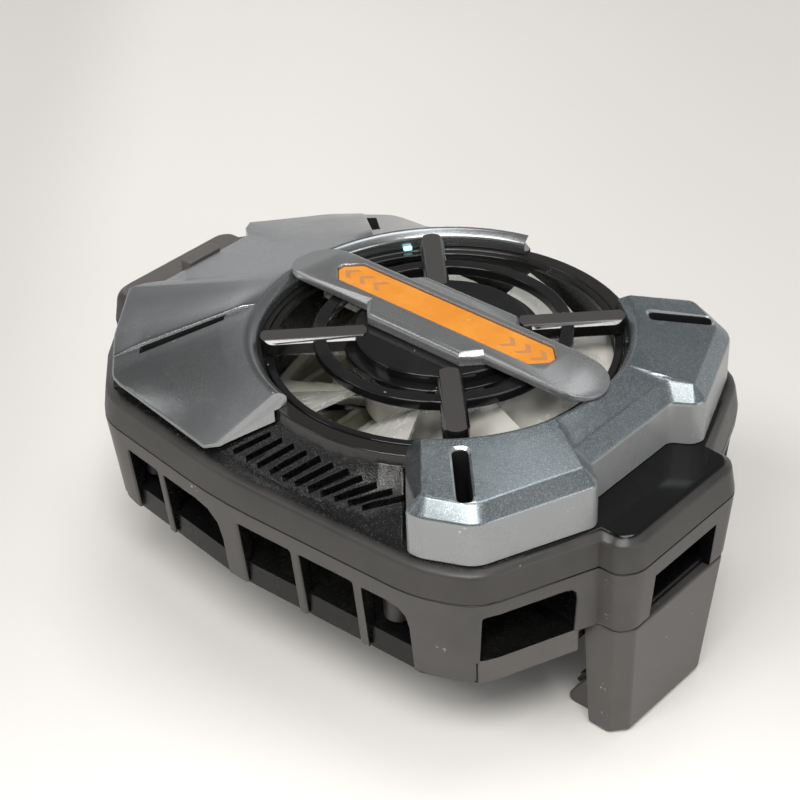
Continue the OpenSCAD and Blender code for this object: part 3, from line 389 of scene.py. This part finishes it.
# Near-black painted shade for the faces inside the housing, where shade falls
inner_painted_shade = moulded("inner_painted_shade", (0.004, 0.004, 0.004), (0.006, 0.006, 0.006),
                      rough=(0.2, 0.34), grain=0.5, depth=0.002, specks=False)
inner_painted_shade.set("Specular IOR Level", 0.2)
# Lighter paint for the bevelled rims of the right wing's slots: a painted highlight where the rims catch
# light
rim_painted_highlight = trim_paint("wing_rim_painted_highlight", (0.42, 0.44, 0.445), (0.5, 0.52, 0.525),
                       flake=0.05, rough=(0.2, 0.28), coat=0.7)

# Material of each node, and the width in millimetres that its edges are rounded by
finish = {
    "upper_housing": (upper_shell(), 0.25),
    "lower_housing": (shell, 0.25),
    "base_plate": (base_shell, 0.25),
    "left_wing": (wing_smooth, 0.2),
    "right_wing": (wing_flake, 0.3),
    "cross_bar": (bar_paint, 0.26),
    "label_plate": (label_paint(), 0.12),
    "fan_guard": (gloss_black, 0.18),
    "fan_rotor": (clear_plastic(), 0.12),
    "fan_shaft": (steel, 0.1),
    "shaft_bearing": (bronze, 0.1),
    "rotor_magnet": (ferrite, 0.1),
    "stator_core": (steel, 0.08),
    "stator_windings": (copper, 0.2),
    "fan_frame": (frame_milky, 0.15),
    "heat_sink": (fin_metal, 0.08),
    "cooling_module": (ceramic, 0.05),
    "cold_plate": (aluminium, 0.2),
    "contact_pad": (rubber, 0.15),
    "control_board": (circuit_board(), 0.06),
    "board_screws": (steel, 0.1),
    "status_lights": (lamp_lens(), 0.12),
    "usb_socket": (steel, 0.08),
    "front_jaw": (jaw_shell, 0.3),
    "rear_jaw": (jaw_shell, 0.3),
    "front_jaw_pad": (rubber, 0.15),
    "rear_jaw_pad": (rubber, 0.15),
    "front_jaw_spring": (steel, 0.0),
    "rear_jaw_spring": (steel, 0.0),
    "housing_screws": (steel, 0.1),
}


BODIES = {n: body for body, members in frame["record"]["behaviour"]["bodies"].items() for n in members}


def piece_from(name, bm, graphs, body, stands_for):
    """A new piece from a bmesh in metres, riding on its body."""
    mesh = bpy.data.meshes.new(name)
    bm.to_mesh(mesh)
    bm.free()
    mesh.shade_smooth()
    made = bpy.data.objects.new(name, mesh)
    scene.collection.objects.link(made)
    for graph in graphs:
        mesh.materials.append(graph.mat)
    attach(made, body)
    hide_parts(*stands_for)
    return made


def even_normals(piece, limit=60.0):
    """Normals weighted by area over the faces round each point that turn by less than the limit."""
    mesh = piece.data
    keep = math.cos(math.radians(limit))
    turns = [face.normal.copy() for face in mesh.polygons]
    areas = [face.area for face in mesh.polygons]
    around = [[] for _ in mesh.vertices]
    for face in mesh.polygons:
        for v in face.vertices:
            around[v].append(face.index)
    normals = [None] * len(mesh.loops)
    for face in mesh.polygons:
        own = turns[face.index]
        for i in face.loop_indices:
            total = Vector()
            for f in around[mesh.loops[i].vertex_index]:
                if own.length < 0.5 or turns[f].dot(own) > keep:
                    total += turns[f] * areas[f]
            normals[i] = total.normalized() if total.length > 0.0 else Vector((0.0, 0.0, 1.0))
    mesh.normals_split_custom_set(normals)


# Rounding: degrees from which an edge is sharp, rows of faces, share of the width that a whole group and a
# run of edges need room for, and an odd share that keeps even sizes off the borders of their classes
SHARP = 30.0
ROWS = 2
GROUP_ROOM = 0.7
RUN_ROOM = 0.1
ODD = 0.317


def sharp_edges(bm, done):
    """Outer edges that are sharp and aren't rounded yet."""
    bm.normal_update()
    bm.edges.index_update()
    return [e for e in bm.edges if len(e.link_faces) == 2 and e.is_convex
            and e.calc_face_angle(0.0) > math.radians(SHARP) and not any(f[done] for f in e.link_faces)]


def place_of(group):
    """Tenths of a millimetre that the middle of a group of edges lies at."""
    middle = sum((v.co for e in group for v in e.verts), Vector()) / (2 * len(group)) / MM
    return tuple(math.floor(10.0 * c + ODD) for c in middle)


def joined(edges, split):
    """Groups of edges that meet, the longest first. With split, a group ends where edges branch or turn."""
    marked = {e.index for e in edges}
    wait = set(marked)

    def passes(v):
        out = [(n.other_vert(v).co - v.co).normalized() for n in v.link_edges if n.index in marked]
        return not split or len(out) == 2 and out[0].dot(out[1]) < -0.8

    groups = []
    for first in edges:
        stack, group = [first], []
        while stack:
            edge = stack.pop()
            if edge.index in wait:
                wait.remove(edge.index)
                group.append(edge)
                stack += [n for v in edge.verts if passes(v) for n in v.link_edges]
        if group:
            groups.append(group)
    lengths = [math.floor(sum(e.calc_length() for e in group) / MM * 100.0 + ODD) for group in groups]
    order = sorted(range(len(groups)), key=lambda i: (-lengths[i], place_of(groups[i])))
    return [groups[i] for i in order]


def round_group(bm, edges, width):
    """Rounds one group, and returns the new faces and the share of the full width that there was room for."""
    full = 1.5 * width * MM * sum(e.calc_length() for e in edges)
    faces = bmesh.ops.bevel(bm, geom=edges, offset=width * MM, offset_type="OFFSET", segments=ROWS,
                            profile=0.5, affect="EDGES", clamp_overlap=True, miter_outer="SHARP",
                            loop_slide=True, material=-1)["faces"]
    return faces, sum(f.calc_area() for f in faces) / full


def skin(bm):
    """Area of all the triangles, which grows where a face folds over itself."""
    return sum(geometry.area_tri(*(corner.vert.co for corner in tri)) for tri in bm.calc_loop_triangles())


def round_bm(bm, width, runs):
    """Rounds whole groups of sharp edges where there is room, and up to so many of the others run by run."""
    done = bm.faces.layers.int.new("done")
    area = skin(bm)

    def attempt(group, least):
        nonlocal area
        bm.edges.index_update()
        trial = bm.copy()
        trial.edges.ensure_lookup_table()
        share = round_group(trial, [trial.edges[e.index] for e in group], width)[1]
        after = skin(trial) if share > least else area
        trial.free()
        if after < area:
            area = after
            for face in round_group(bm, group, width)[0]:
                face[done] = 1

    for group in joined(sharp_edges(bm, done), False):
        attempt(group, GROUP_ROOM if runs else 0.0)
    tried = set()
    for _ in range(runs):
        for group in joined(sharp_edges(bm, done), True):
            key = place_of(group)
            if key not in tried:
                break
        else:
            break
        tried.add(key)
        attempt(group, RUN_ROOM)
    bm.faces.layers.int.remove(done)


def unfold(bm):
    """Turns the shared edge of each pair of triangles that lie folded on each other."""
    for _ in range(12):
        bm.normal_update()
        bad = [e for e in bm.edges if len(e.link_faces) == 2 and e.calc_face_angle(0.0) > math.radians(170.0)]
        used = set()
        for edge in bad:
            faces = set(edge.link_faces)
            if not faces & used and all(len(f.verts) == 3 for f in faces):
                used |= faces
                bmesh.utils.edge_rotate(edge, True)
        if not used:
            break


def settled(bm):
    """The same mesh in one fixed order, which bevels don't keep, and without flaps that have no thickness."""
    points = sorted(bm.verts, key=lambda v: tuple(math.floor(1e4 * c / MM + ODD) for c in v.co))
    number = {v: i for i, v in enumerate(points)}
    faces = {}
    for face in bm.faces:
        corners = [number[v] for v in face.verts]
        first = corners.index(min(corners))
        if faces.pop(tuple(sorted(corners)), None) is None:
            faces[tuple(sorted(corners))] = corners[first:] + corners[:first]
    out = bmesh.new()
    used = sorted({i for corners in faces.values() for i in corners})
    verts = {i: out.verts.new(points[i].co) for i in used}
    for corners in sorted(faces.values()):
        out.faces.new([verts[i] for i in corners])
    bm.free()
    return out


# Runs of edges that are rounded one by one after the whole groups
RUNS = {"upper_housing": 60, "lower_housing": 140, "base_plate": 60, "cross_bar": 40, "cold_plate": 20}


def rounded_copy(name, graph, width):
    """A piece with the node's own shape and rounded edges, in the node's place."""
    bm = bmesh.new()
    bm.from_mesh(nodes[name].data)
    bmesh.ops.remove_doubles(bm, verts=bm.verts, dist=0.003 * MM)
    unfold(bm)
    bmesh.ops.dissolve_limit(bm, angle_limit=math.radians(0.8), verts=bm.verts, edges=bm.edges)
    bmesh.ops.recalc_face_normals(bm, faces=bm.faces)
    round_bm(bm, width, RUNS.get(name, 0))
    made = piece_from(name + "_shape", settled(bm), [graph], BODIES[name], [name])
    even_normals(made)


# Plan of the body in millimetres, as in the solids
def mix(a, b, t):
    return a + (b - a) * t


def left_of(v):
    return Vector((-v.y, v.x))


def inset(pts, d):
    """Anticlockwise outline moved inward by d."""
    n = len(pts)
    sides = [left_of((pts[(i + 1) % n] - pts[i]).normalized()) for i in range(n)]
    return [p + d * (sides[i - 1] + sides[i]) / (1.0 + sides[i - 1].dot(sides[i]))
            for i, p in enumerate(pts)]


def rounded(pts, cuts, steps):
    """Outline with corner i rounded off over the length cuts[i] of its two edges."""
    out = []
    for i, p in enumerate(pts):
        back, ahead = pts[i - 1] - p, pts[(i + 1) % len(pts)] - p
        cut = min(cuts[i], 0.45 * back.length, 0.45 * ahead.length)
        for k in range(steps + 1 if cut else 1):
            s = k / steps
            out.append(p + cut * ((1 - s) ** 2 * back.normalized() + s * s * ahead.normalized()))
    return out


def flip(pts):
    return [Vector((p.x, -p.y)) for p in reversed(pts)]


# Half of the body's outline, and the corners of the ledge that lies inside it
WALL_CHEEK, WALL_REAR = Vector((-22.8, 24.8)), Vector((-36.0, 10.2))
HALF = [Vector(p) for p in ((39.1, 8.2), (37.65, 10.2), (35.35, 10.2),
                            (30.2, 22.7), (24.2, 25.45), (-2.5, 26.9))]
HALF.append(WALL_CHEEK)
HALF.append(mix(WALL_CHEEK, WALL_REAR, 0.45) - 0.7 * left_of((WALL_REAR - WALL_CHEEK).normalized()))
HALF.append(WALL_REAR)
HALF += [Vector((-37.65, 10.2)), Vector((-39.1, 8.2))]
LEDGE_INSET = 1.508
ROOT, SHOULDER, FACET, WIDEST, CHEEK, BULGE, REAR = inset(HALF + flip(HALF), LEDGE_INSET)[2:9]


def ring(r, a, z):
    """Point at a radius and an angle round the fan's middle, and at a height."""
    return Vector((FAN_X + r * math.cos(math.radians(a)), r * math.sin(math.radians(a)), z))


def held(t):
    return min(max(t, 0.0), 1.0)


def smooth(t):
    t = held(t)
    return t * t * (3.0 - 2.0 * t)


def eased(loop, cuts, steps=3):
    """Loop whose corner i is rounded off over cuts[i], where that is named."""
    out = []
    for i, p in enumerate(loop):
        cut = cuts.get(i)
        if not cut:
            out.append(p)
            continue
        back, ahead = loop[i - 1] - p, loop[(i + 1) % len(loop)] - p
        back = back.normalized() * min(cut, 0.45 * back.length)
        ahead = ahead.normalized() * min(cut, 0.45 * ahead.length)
        for k in range(steps + 1):
            t = k / steps
            out.append(p + (1 - t) ** 2 * back + t * t * ahead)
    return out


def loft(loops):
    """Closed mesh in metres over rows of loops with the same number of points."""
    bm = bmesh.new()
    rows = [[bm.verts.new(p * MM) for p in loop] for loop in loops]
    n = len(rows[0])
    for low, high in zip(rows, rows[1:]):
        for i in range(n):
            bm.faces.new((low[i], high[i], high[(i + 1) % n], low[(i + 1) % n]))
    bm.faces.new(rows[0])
    bm.faces.new(rows[-1][::-1])
    bmesh.ops.recalc_face_normals(bm, faces=bm.faces)
    return bm


# Left wing: falls from the ring to its edge, with a raised ridge behind a slot, darkened by painted shade, on
# each side
# Each ray has its angle, its foot on the ledge, its rise over the ledge and the gap under its edge
LEFT_RAYS = [
    (103.0, mix(WIDEST, CHEEK, 0.1), 0.6, 0.1),
    (146.0, CHEEK, 1.4, 0.9),
    (153.0, mix(CHEEK, BULGE, 0.45), 1.6, 0.9),
    (160.0, BULGE, 1.8, 0.7),
    (167.0, mix(BULGE, REAR, 0.86), 2.0, 0.3),
    (171.0, Vector((-33.4, 8.4)), 2.2, 0.1),
    (174.0, Vector((-31.4, 6.9)), 2.6, 0.1),
    (180.0, Vector((-31.4, 0.0)), 2.6, 0.1),
]


def left_ray(a):
    """Foot, rise and gap at an angle between the rays."""
    for low, high in zip(LEFT_RAYS, LEFT_RAYS[1:]):
        if a <= high[0]:
            t = (a - low[0]) / (high[0] - low[0])
            return [mix(low[i], high[i], t) for i in (1, 2, 3)]


SLOT_A, RIDGE_A = 150.5, 153.0
LIP_TURN, LIP_FADE, LIP_RISE = 0.8, 13.0, 0.42
LEFT_SLOT_DEEP = 1.3


def left_lip(a):
    """Share of the ridge's rise at an angle: none up to the slot, a quarter circle, then a slow fall."""
    if a < RIDGE_A:
        return 0.0
    if a < RIDGE_A + LIP_TURN:
        return math.sqrt(1.0 - (1.0 - (a - RIDGE_A) / LIP_TURN) ** 2)
    return 1.0 - smooth((a - RIDGE_A - LIP_TURN) / LIP_FADE)


def left_loop(a, rows):
    """Closed section of the left wing at an angle, with a point of its face for each row."""
    foot, rise, gap = left_ray(a)
    if 144.0 < a < SLOT_A:
        near = [left_ray(a + d)[0] for d in (-2.4, -1.2, 0.0, 1.2, 2.4)]
        foot = sum(near, Vector((0.0, 0.0))) / 5
    lip = left_lip(a)
    crest, low = ring(RING_CREST, a, RING_TOP), Vector((foot.x, foot.y, LEDGE_Z + rise))
    if a < 106.0:
        low = mix(low, crest, 1.5 * (106.0 - a) / 3.0 / (crest - low).length)
    seat = mix(low, ring(RING_CREST, a, 0.0), 0.12)
    loop = [ring(RING_OUT, a, RING_UNDER), ring(RING_IN, a, RING_UNDER),
            ring(RING_IN, a, RING_EDGE), ring(RING_LIP, a, RING_TOP)]
    for v in rows:
        p = mix(crest, low, v)
        p.z += LIP_RISE * lip * smooth(v / 0.1) * (1.0 - 0.65 * smooth((v - 0.78) / 0.22))
        if SLOT_A < a < RIDGE_A and 0.22 < v < 0.8:
            p.z -= LEFT_SLOT_DEEP
        loop.append(p)
    bottom = min(FOOT_Z + gap + low.z - LEDGE_Z - rise, low.z - 0.1)
    loop.append(Vector((low.x, low.y, bottom)))
    loop.append(Vector((seat.x, seat.y, 28.964 + low.z - LEDGE_Z - rise)))
    loop.append(ring(RING_OUT, a, 33.1))
    return eased(loop, {1: 0.15, 2: 0.35, 3: 0.3, 3 + len(rows): 0.22, 4 + len(rows): 0.15})


def left_wing():
    rows = [0.0, 0.04, 0.09, 0.15, 0.2, 0.213, 0.227, 0.3, 0.4, 0.5,
            0.6, 0.7, 0.76, 0.793, 0.807, 0.86, 0.92, 0.97, 1.0]
    half = [103.0, 104.5, 106.0] + [106.0 + 40.0 * k / 12 for k in range(1, 13)] + [147.4, 148.9]
    half += [SLOT_A, SLOT_A + 0.12, RIDGE_A - 0.02]
    half += [RIDGE_A + turn for turn in (0.0, 0.06, 0.18, 0.35, 0.55, 0.8, 1.3, 2.1)]
    half += [156.5, 158.3, 160.0, 162.3, 164.7, 167.0, 169.0, 171.0, 172.5, 174.0, 177.0]
    loops = []
    for side, angles in ((1, half), (1, [180.0]), (-1, half[::-1])):
        for a in angles:
            loops.append([Vector((p.x, side * p.y, p.z)) for p in left_loop(a, rows)])
    bm = loft(loops)
    # Faces deep in the slots get the near-black painted shade
    paint_slots(bm, lambda p: left_depth(p) > 0.3)
    graphs = [finish["left_wing"][0], slot_painted_shade]
    made = piece_from("left_wing_shape", bm, graphs, "housing", ["left_wing"])
    even_normals(made)


def left_depth(p):
    """How far a point lies under the left wing's plain face near its slots, in millimetres."""
    crest, foot = ring(RING_CREST, 151.6, 0.0), mix(CHEEK, BULGE, 0.39)
    away = Vector((foot.x - crest.x, foot.y - crest.y))
    at = Vector((p.x - crest.x, abs(p.y) - crest.y))
    v = at.dot(away) / away.length_squared
    off = abs(left_of(away.normalized()).dot(at))
    if off > 0.62 or not 0.2 < v < 0.82:
        return 0.0
    return mix(RING_TOP, 29.86, v) - p.z


def paint_slots(bm, inside, number=1):
    """Gives another material to the faces in the slots or on their rims: painted shade in the slots, a
    painted highlight on the rims.
    """
    for face in bm.faces:
        if inside(face.calc_center_median() / MM):
            face.material_index = number


# Right wing: upright walls with a bevel under a gently falling top, and two rimmed slots
RIGHT_END, END_TURN = 59.3, 4.2
BEVEL = 1.5
WING_FALL = 0.178
SLOT_NEAR, SLOT_FAR, SLOT_HALF, SLOT_FLOOR = 22.2, 29.2, 0.9, 28.7


def right_rays():
    """Angle, foot and top of each section of the right wing."""
    steps = 8
    half = [Vector((31.4, 6.9)), Vector((33.6, 8.2)), mix(SHOULDER, ROOT, 0.95), SHOULDER, FACET,
            mix(FACET, WIDEST, 0.06), Vector(ring(19.0, RIGHT_END, 0.0)[:2])]
    cuts = [0.8, 0.7, 0.5, 1.4, 1.6, 0.5, 0.0]
    plan = half + flip(half)
    cuts = cuts + cuts[::-1]
    count = (steps + 1) * (len(half) - 1)

    def edge(d):
        pts = rounded(inset(plan, d), cuts, steps)
        return pts[count + 2:] + pts[:count]

    feet, tops = edge(0.0), edge(BEVEL)
    polar = [math.degrees(math.atan2(p.y, p.x - FAN_X)) for p in feet]
    spread = RIGHT_END / polar[-1]
    rays = []
    for i, a in enumerate(polar):
        rays.append((a * spread, feet[i], tops[i]))
        if i + 1 < len(polar):
            n = max(1, math.ceil((polar[i + 1] - a) * spread / 3.0))
            for k in range(1, n):
                t = k / n
                foot, top = mix(feet[i], feet[i + 1], t), mix(tops[i], tops[i + 1], t)
                rays.append((mix(a, polar[i + 1], t) * spread, foot, top))
    return rays


def right_wing():
    loops = []
    start = RIGHT_END - 3.0 * END_TURN
    for a, foot, top in right_rays():
        turn = a - math.copysign(END_TURN * max(0.0, abs(a) - start) / (RIGHT_END - start), a)
        high = Vector((top.x, top.y, 0.0))
        high.z = mix(34.8, slot_top(high), 0.45)
        loop = [ring(RING_OUT, a, RING_UNDER), ring(RING_IN, a, RING_UNDER),
                ring(RING_IN, mix(a, turn, 0.5), RING_EDGE), ring(RING_LIP, turn, RING_TOP)]
        loop += [mix(ring(RING_CREST, turn, RING_TOP), high, v) for v in (0.0, 0.25, 0.5, 0.75, 1.0)]
        loop += [Vector((foot.x, foot.y, WALL_Z)), Vector((foot.x, foot.y, FOOT_Z))]
        loop.append(ring(RING_OUT, a, FOOT_Z))
        loops.append(eased(loop, {1: 0.15, 2: 0.3, 3: 0.25, 8: 0.22, 9: 0.28, 10: 0.15}))
    bm = loft(loops)
    for angle in (-45.0, 45.0):
        bm = cut_slot(bm, angle)
    # The bevelled rims of the slots get the lighter paint, a painted highlight
    paint_slots(bm, lambda p: slot_place(p) and p.z < slot_top(p) - 0.04, 2)
    # Walls and floors of the slots get the near-black painted shade
    paint_slots(bm, lambda p: slot_place(p) and p.z < slot_top(p) - 0.32)
    graphs = [finish["right_wing"][0], slot_painted_shade, rim_painted_highlight]
    made = piece_from("right_wing_shape", bm, graphs, "housing", ["right_wing"])
    even_normals(made, 28.0)


def slot_place(p):
    """Whether a point in millimetres lies in or on the rim of a slot of the right wing."""
    x, y = p.x - FAN_X, abs(p.y)
    along, off = (x + y) * math.sqrt(0.5), (x - y) * math.sqrt(0.5)
    inside = abs(off) < SLOT_HALF + 0.1 and SLOT_NEAR - 0.2 < along < SLOT_FAR + 0.2
    return inside and p.z > SLOT_FLOOR - 0.1


def slot_top(p):
    """Height of the right wing's top over a point near its slots."""
    return RING_TOP - WING_FALL * (math.hypot(p.x - FAN_X, p.y) - RING_CREST)


def cut_slot(bm, angle):
    """The mesh with one round-cornered slot cut down into it, with a bevelled rim."""
    cutter = bmesh.new()
    turn = Matrix.Rotation(math.radians(angle), 2)

    def level(grow, height):
        near, far, half = SLOT_NEAR - grow, SLOT_FAR + grow, SLOT_HALF + grow
        plan = [Vector(p) for p in ((near, -half), (far, -half), (far, half), (near, half))]
        plan = [turn @ p + Vector((FAN_X, 0.0)) for p in rounded(plan, [0.79 + 0.6 * grow] * 4, 8)]
        return [cutter.verts.new(Vector((p.x, p.y, height(p))) * MM) for p in plan]

    def over(rise):
        return lambda p: slot_top(p) + rise

    rows = [level(-0.12, lambda p: SLOT_FLOOR)]
    for grow, rise in ((-0.12, -0.4), (-0.06, -0.24), (0.3, 0.06), (0.3, 2.0)):
        rows.append(level(grow, over(rise)))
    for low, high in zip(rows, rows[1:]):
        for i in range(len(low)):
            k = (i + 1) % len(low)
            cutter.faces.new((low[i], low[k], high[k], high[i]))
    cutter.faces.new(rows[0][::-1])
    cutter.faces.new(rows[-1])
    bmesh.ops.recalc_face_normals(cutter, faces=cutter.faces)
    objects = []
    for name, source in (("wing_blank", bm), ("slot_cutter", cutter)):
        mesh = bpy.data.meshes.new(name)
        source.to_mesh(mesh)
        source.free()
        objects.append(bpy.data.objects.new(name, mesh))
        scene.collection.objects.link(objects[-1])
    cut = objects[0].modifiers.new("cut", "BOOLEAN")
    cut.operation, cut.solver, cut.object = "DIFFERENCE", "EXACT", objects[1]
    out = bmesh.new()
    out.from_object(objects[0], bpy.context.evaluated_depsgraph_get())
    for made in objects:
        mesh = made.data
        bpy.data.objects.remove(made)
        bpy.data.meshes.remove(mesh)
    bmesh.ops.remove_doubles(out, verts=out.verts, dist=0.002 * MM)
    return out


# Springs: wound wire with closed end curls
SPRING_Z = 18.55


def spring(node, side):
    turns, steps, sides = 9.0, 30, 10
    x0, x1, r, wire = 17.95, 32.75, 1.1, 0.2
    first, last = x0 + wire, x1 - wire
    along = Vector((side, 0.0, 0.0))
    around = [2.0 * math.pi * i / sides for i in range(sides)]
    bm = bmesh.new()
    rows = []
    total = int(turns * steps)
    for k in range(total + 1):
        wound = k / total * turns
        lift = smooth((wound - 0.5) / (turns - 1.0)) * 0.15 + 0.85 * held((wound - 0.8) / (turns - 1.6))
        a = 2.0 * math.pi * wound
        out = Vector((0.0, math.cos(a), math.sin(a)))
        middle = Vector((side * (first + (last - first) * lift), 0.0, SPRING_Z)) + r * out
        rows.append([bm.verts.new((middle + wire * (math.cos(b) * out + math.sin(b) * along)) * MM)
                     for b in around])
    for low, high in zip(rows, rows[1:]):
        for i in range(sides):
            bm.faces.new((low[i], high[i], high[(i + 1) % sides], low[(i + 1) % sides]))
    bm.faces.new(rows[0])
    bm.faces.new(rows[-1][::-1])
    bmesh.ops.recalc_face_normals(bm, faces=bm.faces)
    made = piece_from(node + "_coil", bm, [finish[node][0]], "housing", [node])
    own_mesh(made)


# The body's outline with its corners rounded off, to tell outer walls from inner ones
CUTS = [0.9, 0.9, 0.0, 2.4, 5.0, 5.0, 2.6, 0.0, 0.0, 0.9, 0.9]
OUTLINE = rounded(HALF + flip(HALF), CUTS + CUTS[::-1], 8)


def wall_depth(p):
    """How far a plan point in millimetres lies inside the body's outline."""
    near = math.inf
    at = Vector((p.x, p.y))
    for i, q in enumerate(OUTLINE):
        side = OUTLINE[(i + 1) % len(OUTLINE)] - q
        t = held((at - q).dot(side) / side.length_squared)
        near = min(near, (at - q - t * side).length)
    return near


SKIN = 0.3


def darken_inside(name):
    """Second material, near-black painted shade, on the faces that lie deeper than the skin of the leaning
    outer walls.
    """
    made = bpy.data.objects[name + "_shape"]
    made.data.materials.append(inner_painted_shade.mat)
    for face in made.data.polygons:
        p = face.center / MM
        if wall_depth(p) > SKIN + LEAN * (SEAM_Z - p.z):
            face.material_index = 1


# Nodes whose pieces are built anew. All others get a rounded copy
BUILT = {"left_wing": left_wing, "right_wing": right_wing,
         "front_jaw_spring": lambda: spring("front_jaw_spring", 1),
         "rear_jaw_spring": lambda: spring("rear_jaw_spring", -1)}
for name, (graph, width) in finish.items():
    mesh = nodes[name].data
    mesh.materials.clear()
    mesh.materials.append(graph.mat)
    if name in BUILT:
        BUILT[name]()
    else:
        rounded_copy(name, graph, width)
darken_inside("lower_housing")
darken_inside("base_plate")


# Camera at the photograph's place: its angles in degrees, the part's middle in its axes in millimetres,
# its focal length and the photo's width in pixels, and the film's width
ANGLES = (43.3517, 34.8099, -2.4879)
SHIFT = (-0.193, -3.741, -214.374)
FOCAL_PX, PHOTO_PX, FILM = 1917.273, 800.0, 36.0


def camera():
    az, el, roll = (math.radians(a) for a in ANGLES)
    right = Vector((math.cos(az), math.sin(az), 0.0))
    ahead = Vector((-math.sin(az), math.cos(az), 0.0))
    z = Vector((0.0, 0.0, 1.0))
    up = math.sin(el) * ahead + math.cos(el) * z
    look = math.cos(el) * ahead - math.sin(el) * z
    right, up = math.cos(roll) * right + math.sin(roll) * up, math.cos(roll) * up - math.sin(roll) * right
    at = (SHIFT[0] * right + SHIFT[1] * up + SHIFT[2] * look) * MM + Vector((0.0, 0.0, LEDGE_Z * MM))
    data = bpy.data.cameras.new("camera")
    data.sensor_width = FILM
    data.lens = FOCAL_PX * FILM / PHOTO_PX
    data.clip_start = 0.01
    made = bpy.data.objects.new("camera", data)
    turn = Matrix((right, up, -look)).transposed()
    made.matrix_world = Matrix.Translation(at) @ turn.to_4x4()
    scene.collection.objects.link(made)
    scene.camera = made


camera()


# Floor, world and lamps
def floor():
    """Pale floor with painted shade that makes it a little darker at the sides, and a painted pool of light
    whose emission lifts its front to white for the eye alone.
    """
    half, cos, sin = 1.5, 0.727, 0.687
    corners = [(-half, -half, 0), (half, -half, 0), (half, half, 0), (-half, half, 0)]
    mesh = bpy.data.meshes.new("floor")
    mesh.from_pydata(corners, [], [(0, 1, 2, 3)])
    made = bpy.data.objects.new("floor", mesh)
    scene.collection.objects.link(made)
    g = Graph("floor_pale", specular_ior_level=0.2)
    cloud = g.noise(120.0, 3.0)
    x, y, _ = g.axes()
    across = g.math("ADD", g.math("MULTIPLY", x, cos), g.math("MULTIPLY", y, sin))
    ahead = g.math("SUBTRACT", g.math("MULTIPLY", y, cos), g.math("MULTIPLY", x, sin))
    pale = g.mix(g.span(cloud, *NOISE), (0.76, 0.742, 0.715), (0.78, 0.762, 0.735))
    # Painted shade: a darker patch at the left and a darkening towards the right
    side = g.math("MULTIPLY", g.span(across, -38.0, -65.0), g.span(ahead, -35.0, 0.0))
    pale = g.mix(side, pale, (0.66, 0.642, 0.617))
    g.set("Base Color", g.mix(g.span(across, -20.0, 80.0), pale, (0.67, 0.652, 0.627)))
    g.set("Roughness", g.span(cloud, *NOISE, 0.55, 0.65))
    # Painted pool of light: emission that lifts the front of the floor
    near = g.math("MULTIPLY", g.span(ahead, -42.0, -14.0, 0.2, 0.0), g.span(across, -60.0, 0.0, 0.4, 1.0))
    path = g.node("LightPath").outputs
    seen = g.math("MAXIMUM", path["Is Glossy Ray"], path["Is Transmission Ray"])
    seen = g.math("MAXIMUM", path["Is Camera Ray"], seen)
    g.set("Emission Color", (1.0, 0.985, 0.96))
    g.set("Emission Strength", g.math("MULTIPLY", seen, near))
    mesh.materials.append(g.mat)


def world():
    """Bright near the horizon and dim overhead, the least so at the back right."""
    made = bpy.data.worlds.new("studio")
    scene.world = made
    made.use_nodes = True
    tree = made.node_tree
    back = tree.nodes["Background"]
    back.inputs["Color"].default_value = (0.98, 0.985, 1.0, 1.0)
    coord = tree.nodes.new("ShaderNodeTexCoord")
    parts = tree.nodes.new("ShaderNodeSeparateXYZ")
    tree.links.new(coord.outputs["Generated"], parts.inputs[0])
    side = tree.nodes.new("ShaderNodeMath")
    tree.links.new(parts.outputs[0], side.inputs[0])
    tree.links.new(parts.outputs[1], side.inputs[1])
    overhead = tree.nodes.new("ShaderNodeMapRange")
    fade = tree.nodes.new("ShaderNodeMapRange")
    for made_range, values in ((overhead, (-0.5, 0.1, 0.08, 0.18)), (fade, (0.0, 0.4, 1.0))):
        made_range.interpolation_type = "SMOOTHSTEP"
        for i, value in enumerate(values):
            made_range.inputs[i + 1].default_value = value
    tree.links.new(side.outputs[0], overhead.inputs[0])
    tree.links.new(parts.outputs[2], fade.inputs[0])
    tree.links.new(overhead.outputs[0], fade.inputs[4])
    tree.links.new(fade.outputs[0], back.inputs["Strength"])


# Name, azimuth and height in degrees, distance and size in metres, power and colour of each lamp
LAMPS = (
    ("over_camera", -44, 55, 0.9, (0.3, 0.22), 4.2, (1.0, 0.98, 0.95)),
    ("front", -84, 52, 0.9, (0.36, 0.24), 3.1, (1.0, 0.985, 0.96)),
    ("left", -136, 36, 0.9, (0.26, 0.12), 0.5, (1.0, 0.99, 0.98)),
    ("top", 80, 78, 0.9, (0.5, 0.5), 3.0, (0.97, 0.985, 1.0)),
    ("right", 4, 16, 1.0, (0.5, 0.3), 1.6, (1.0, 0.985, 0.96)),
)
LAMP_AIM = Vector((0, 0, 0.03))


def lamp(name, azimuth, height, distance, size, power, colour):
    data = bpy.data.lights.new(name, "AREA")
    data.shape = "RECTANGLE"
    data.size, data.size_y = size
    data.energy = power
    data.color = colour
    a, e = math.radians(azimuth), math.radians(height)
    way = Vector((math.cos(e) * math.cos(a), math.cos(e) * math.sin(a), math.sin(e)))
    made = bpy.data.objects.new(name, data)
    made.location = way * distance + LAMP_AIM
    made.rotation_euler = way.to_track_quat("Z", "Y").to_euler()
    scene.collection.objects.link(made)


floor()
world()
for values in LAMPS:
    lamp(*values)
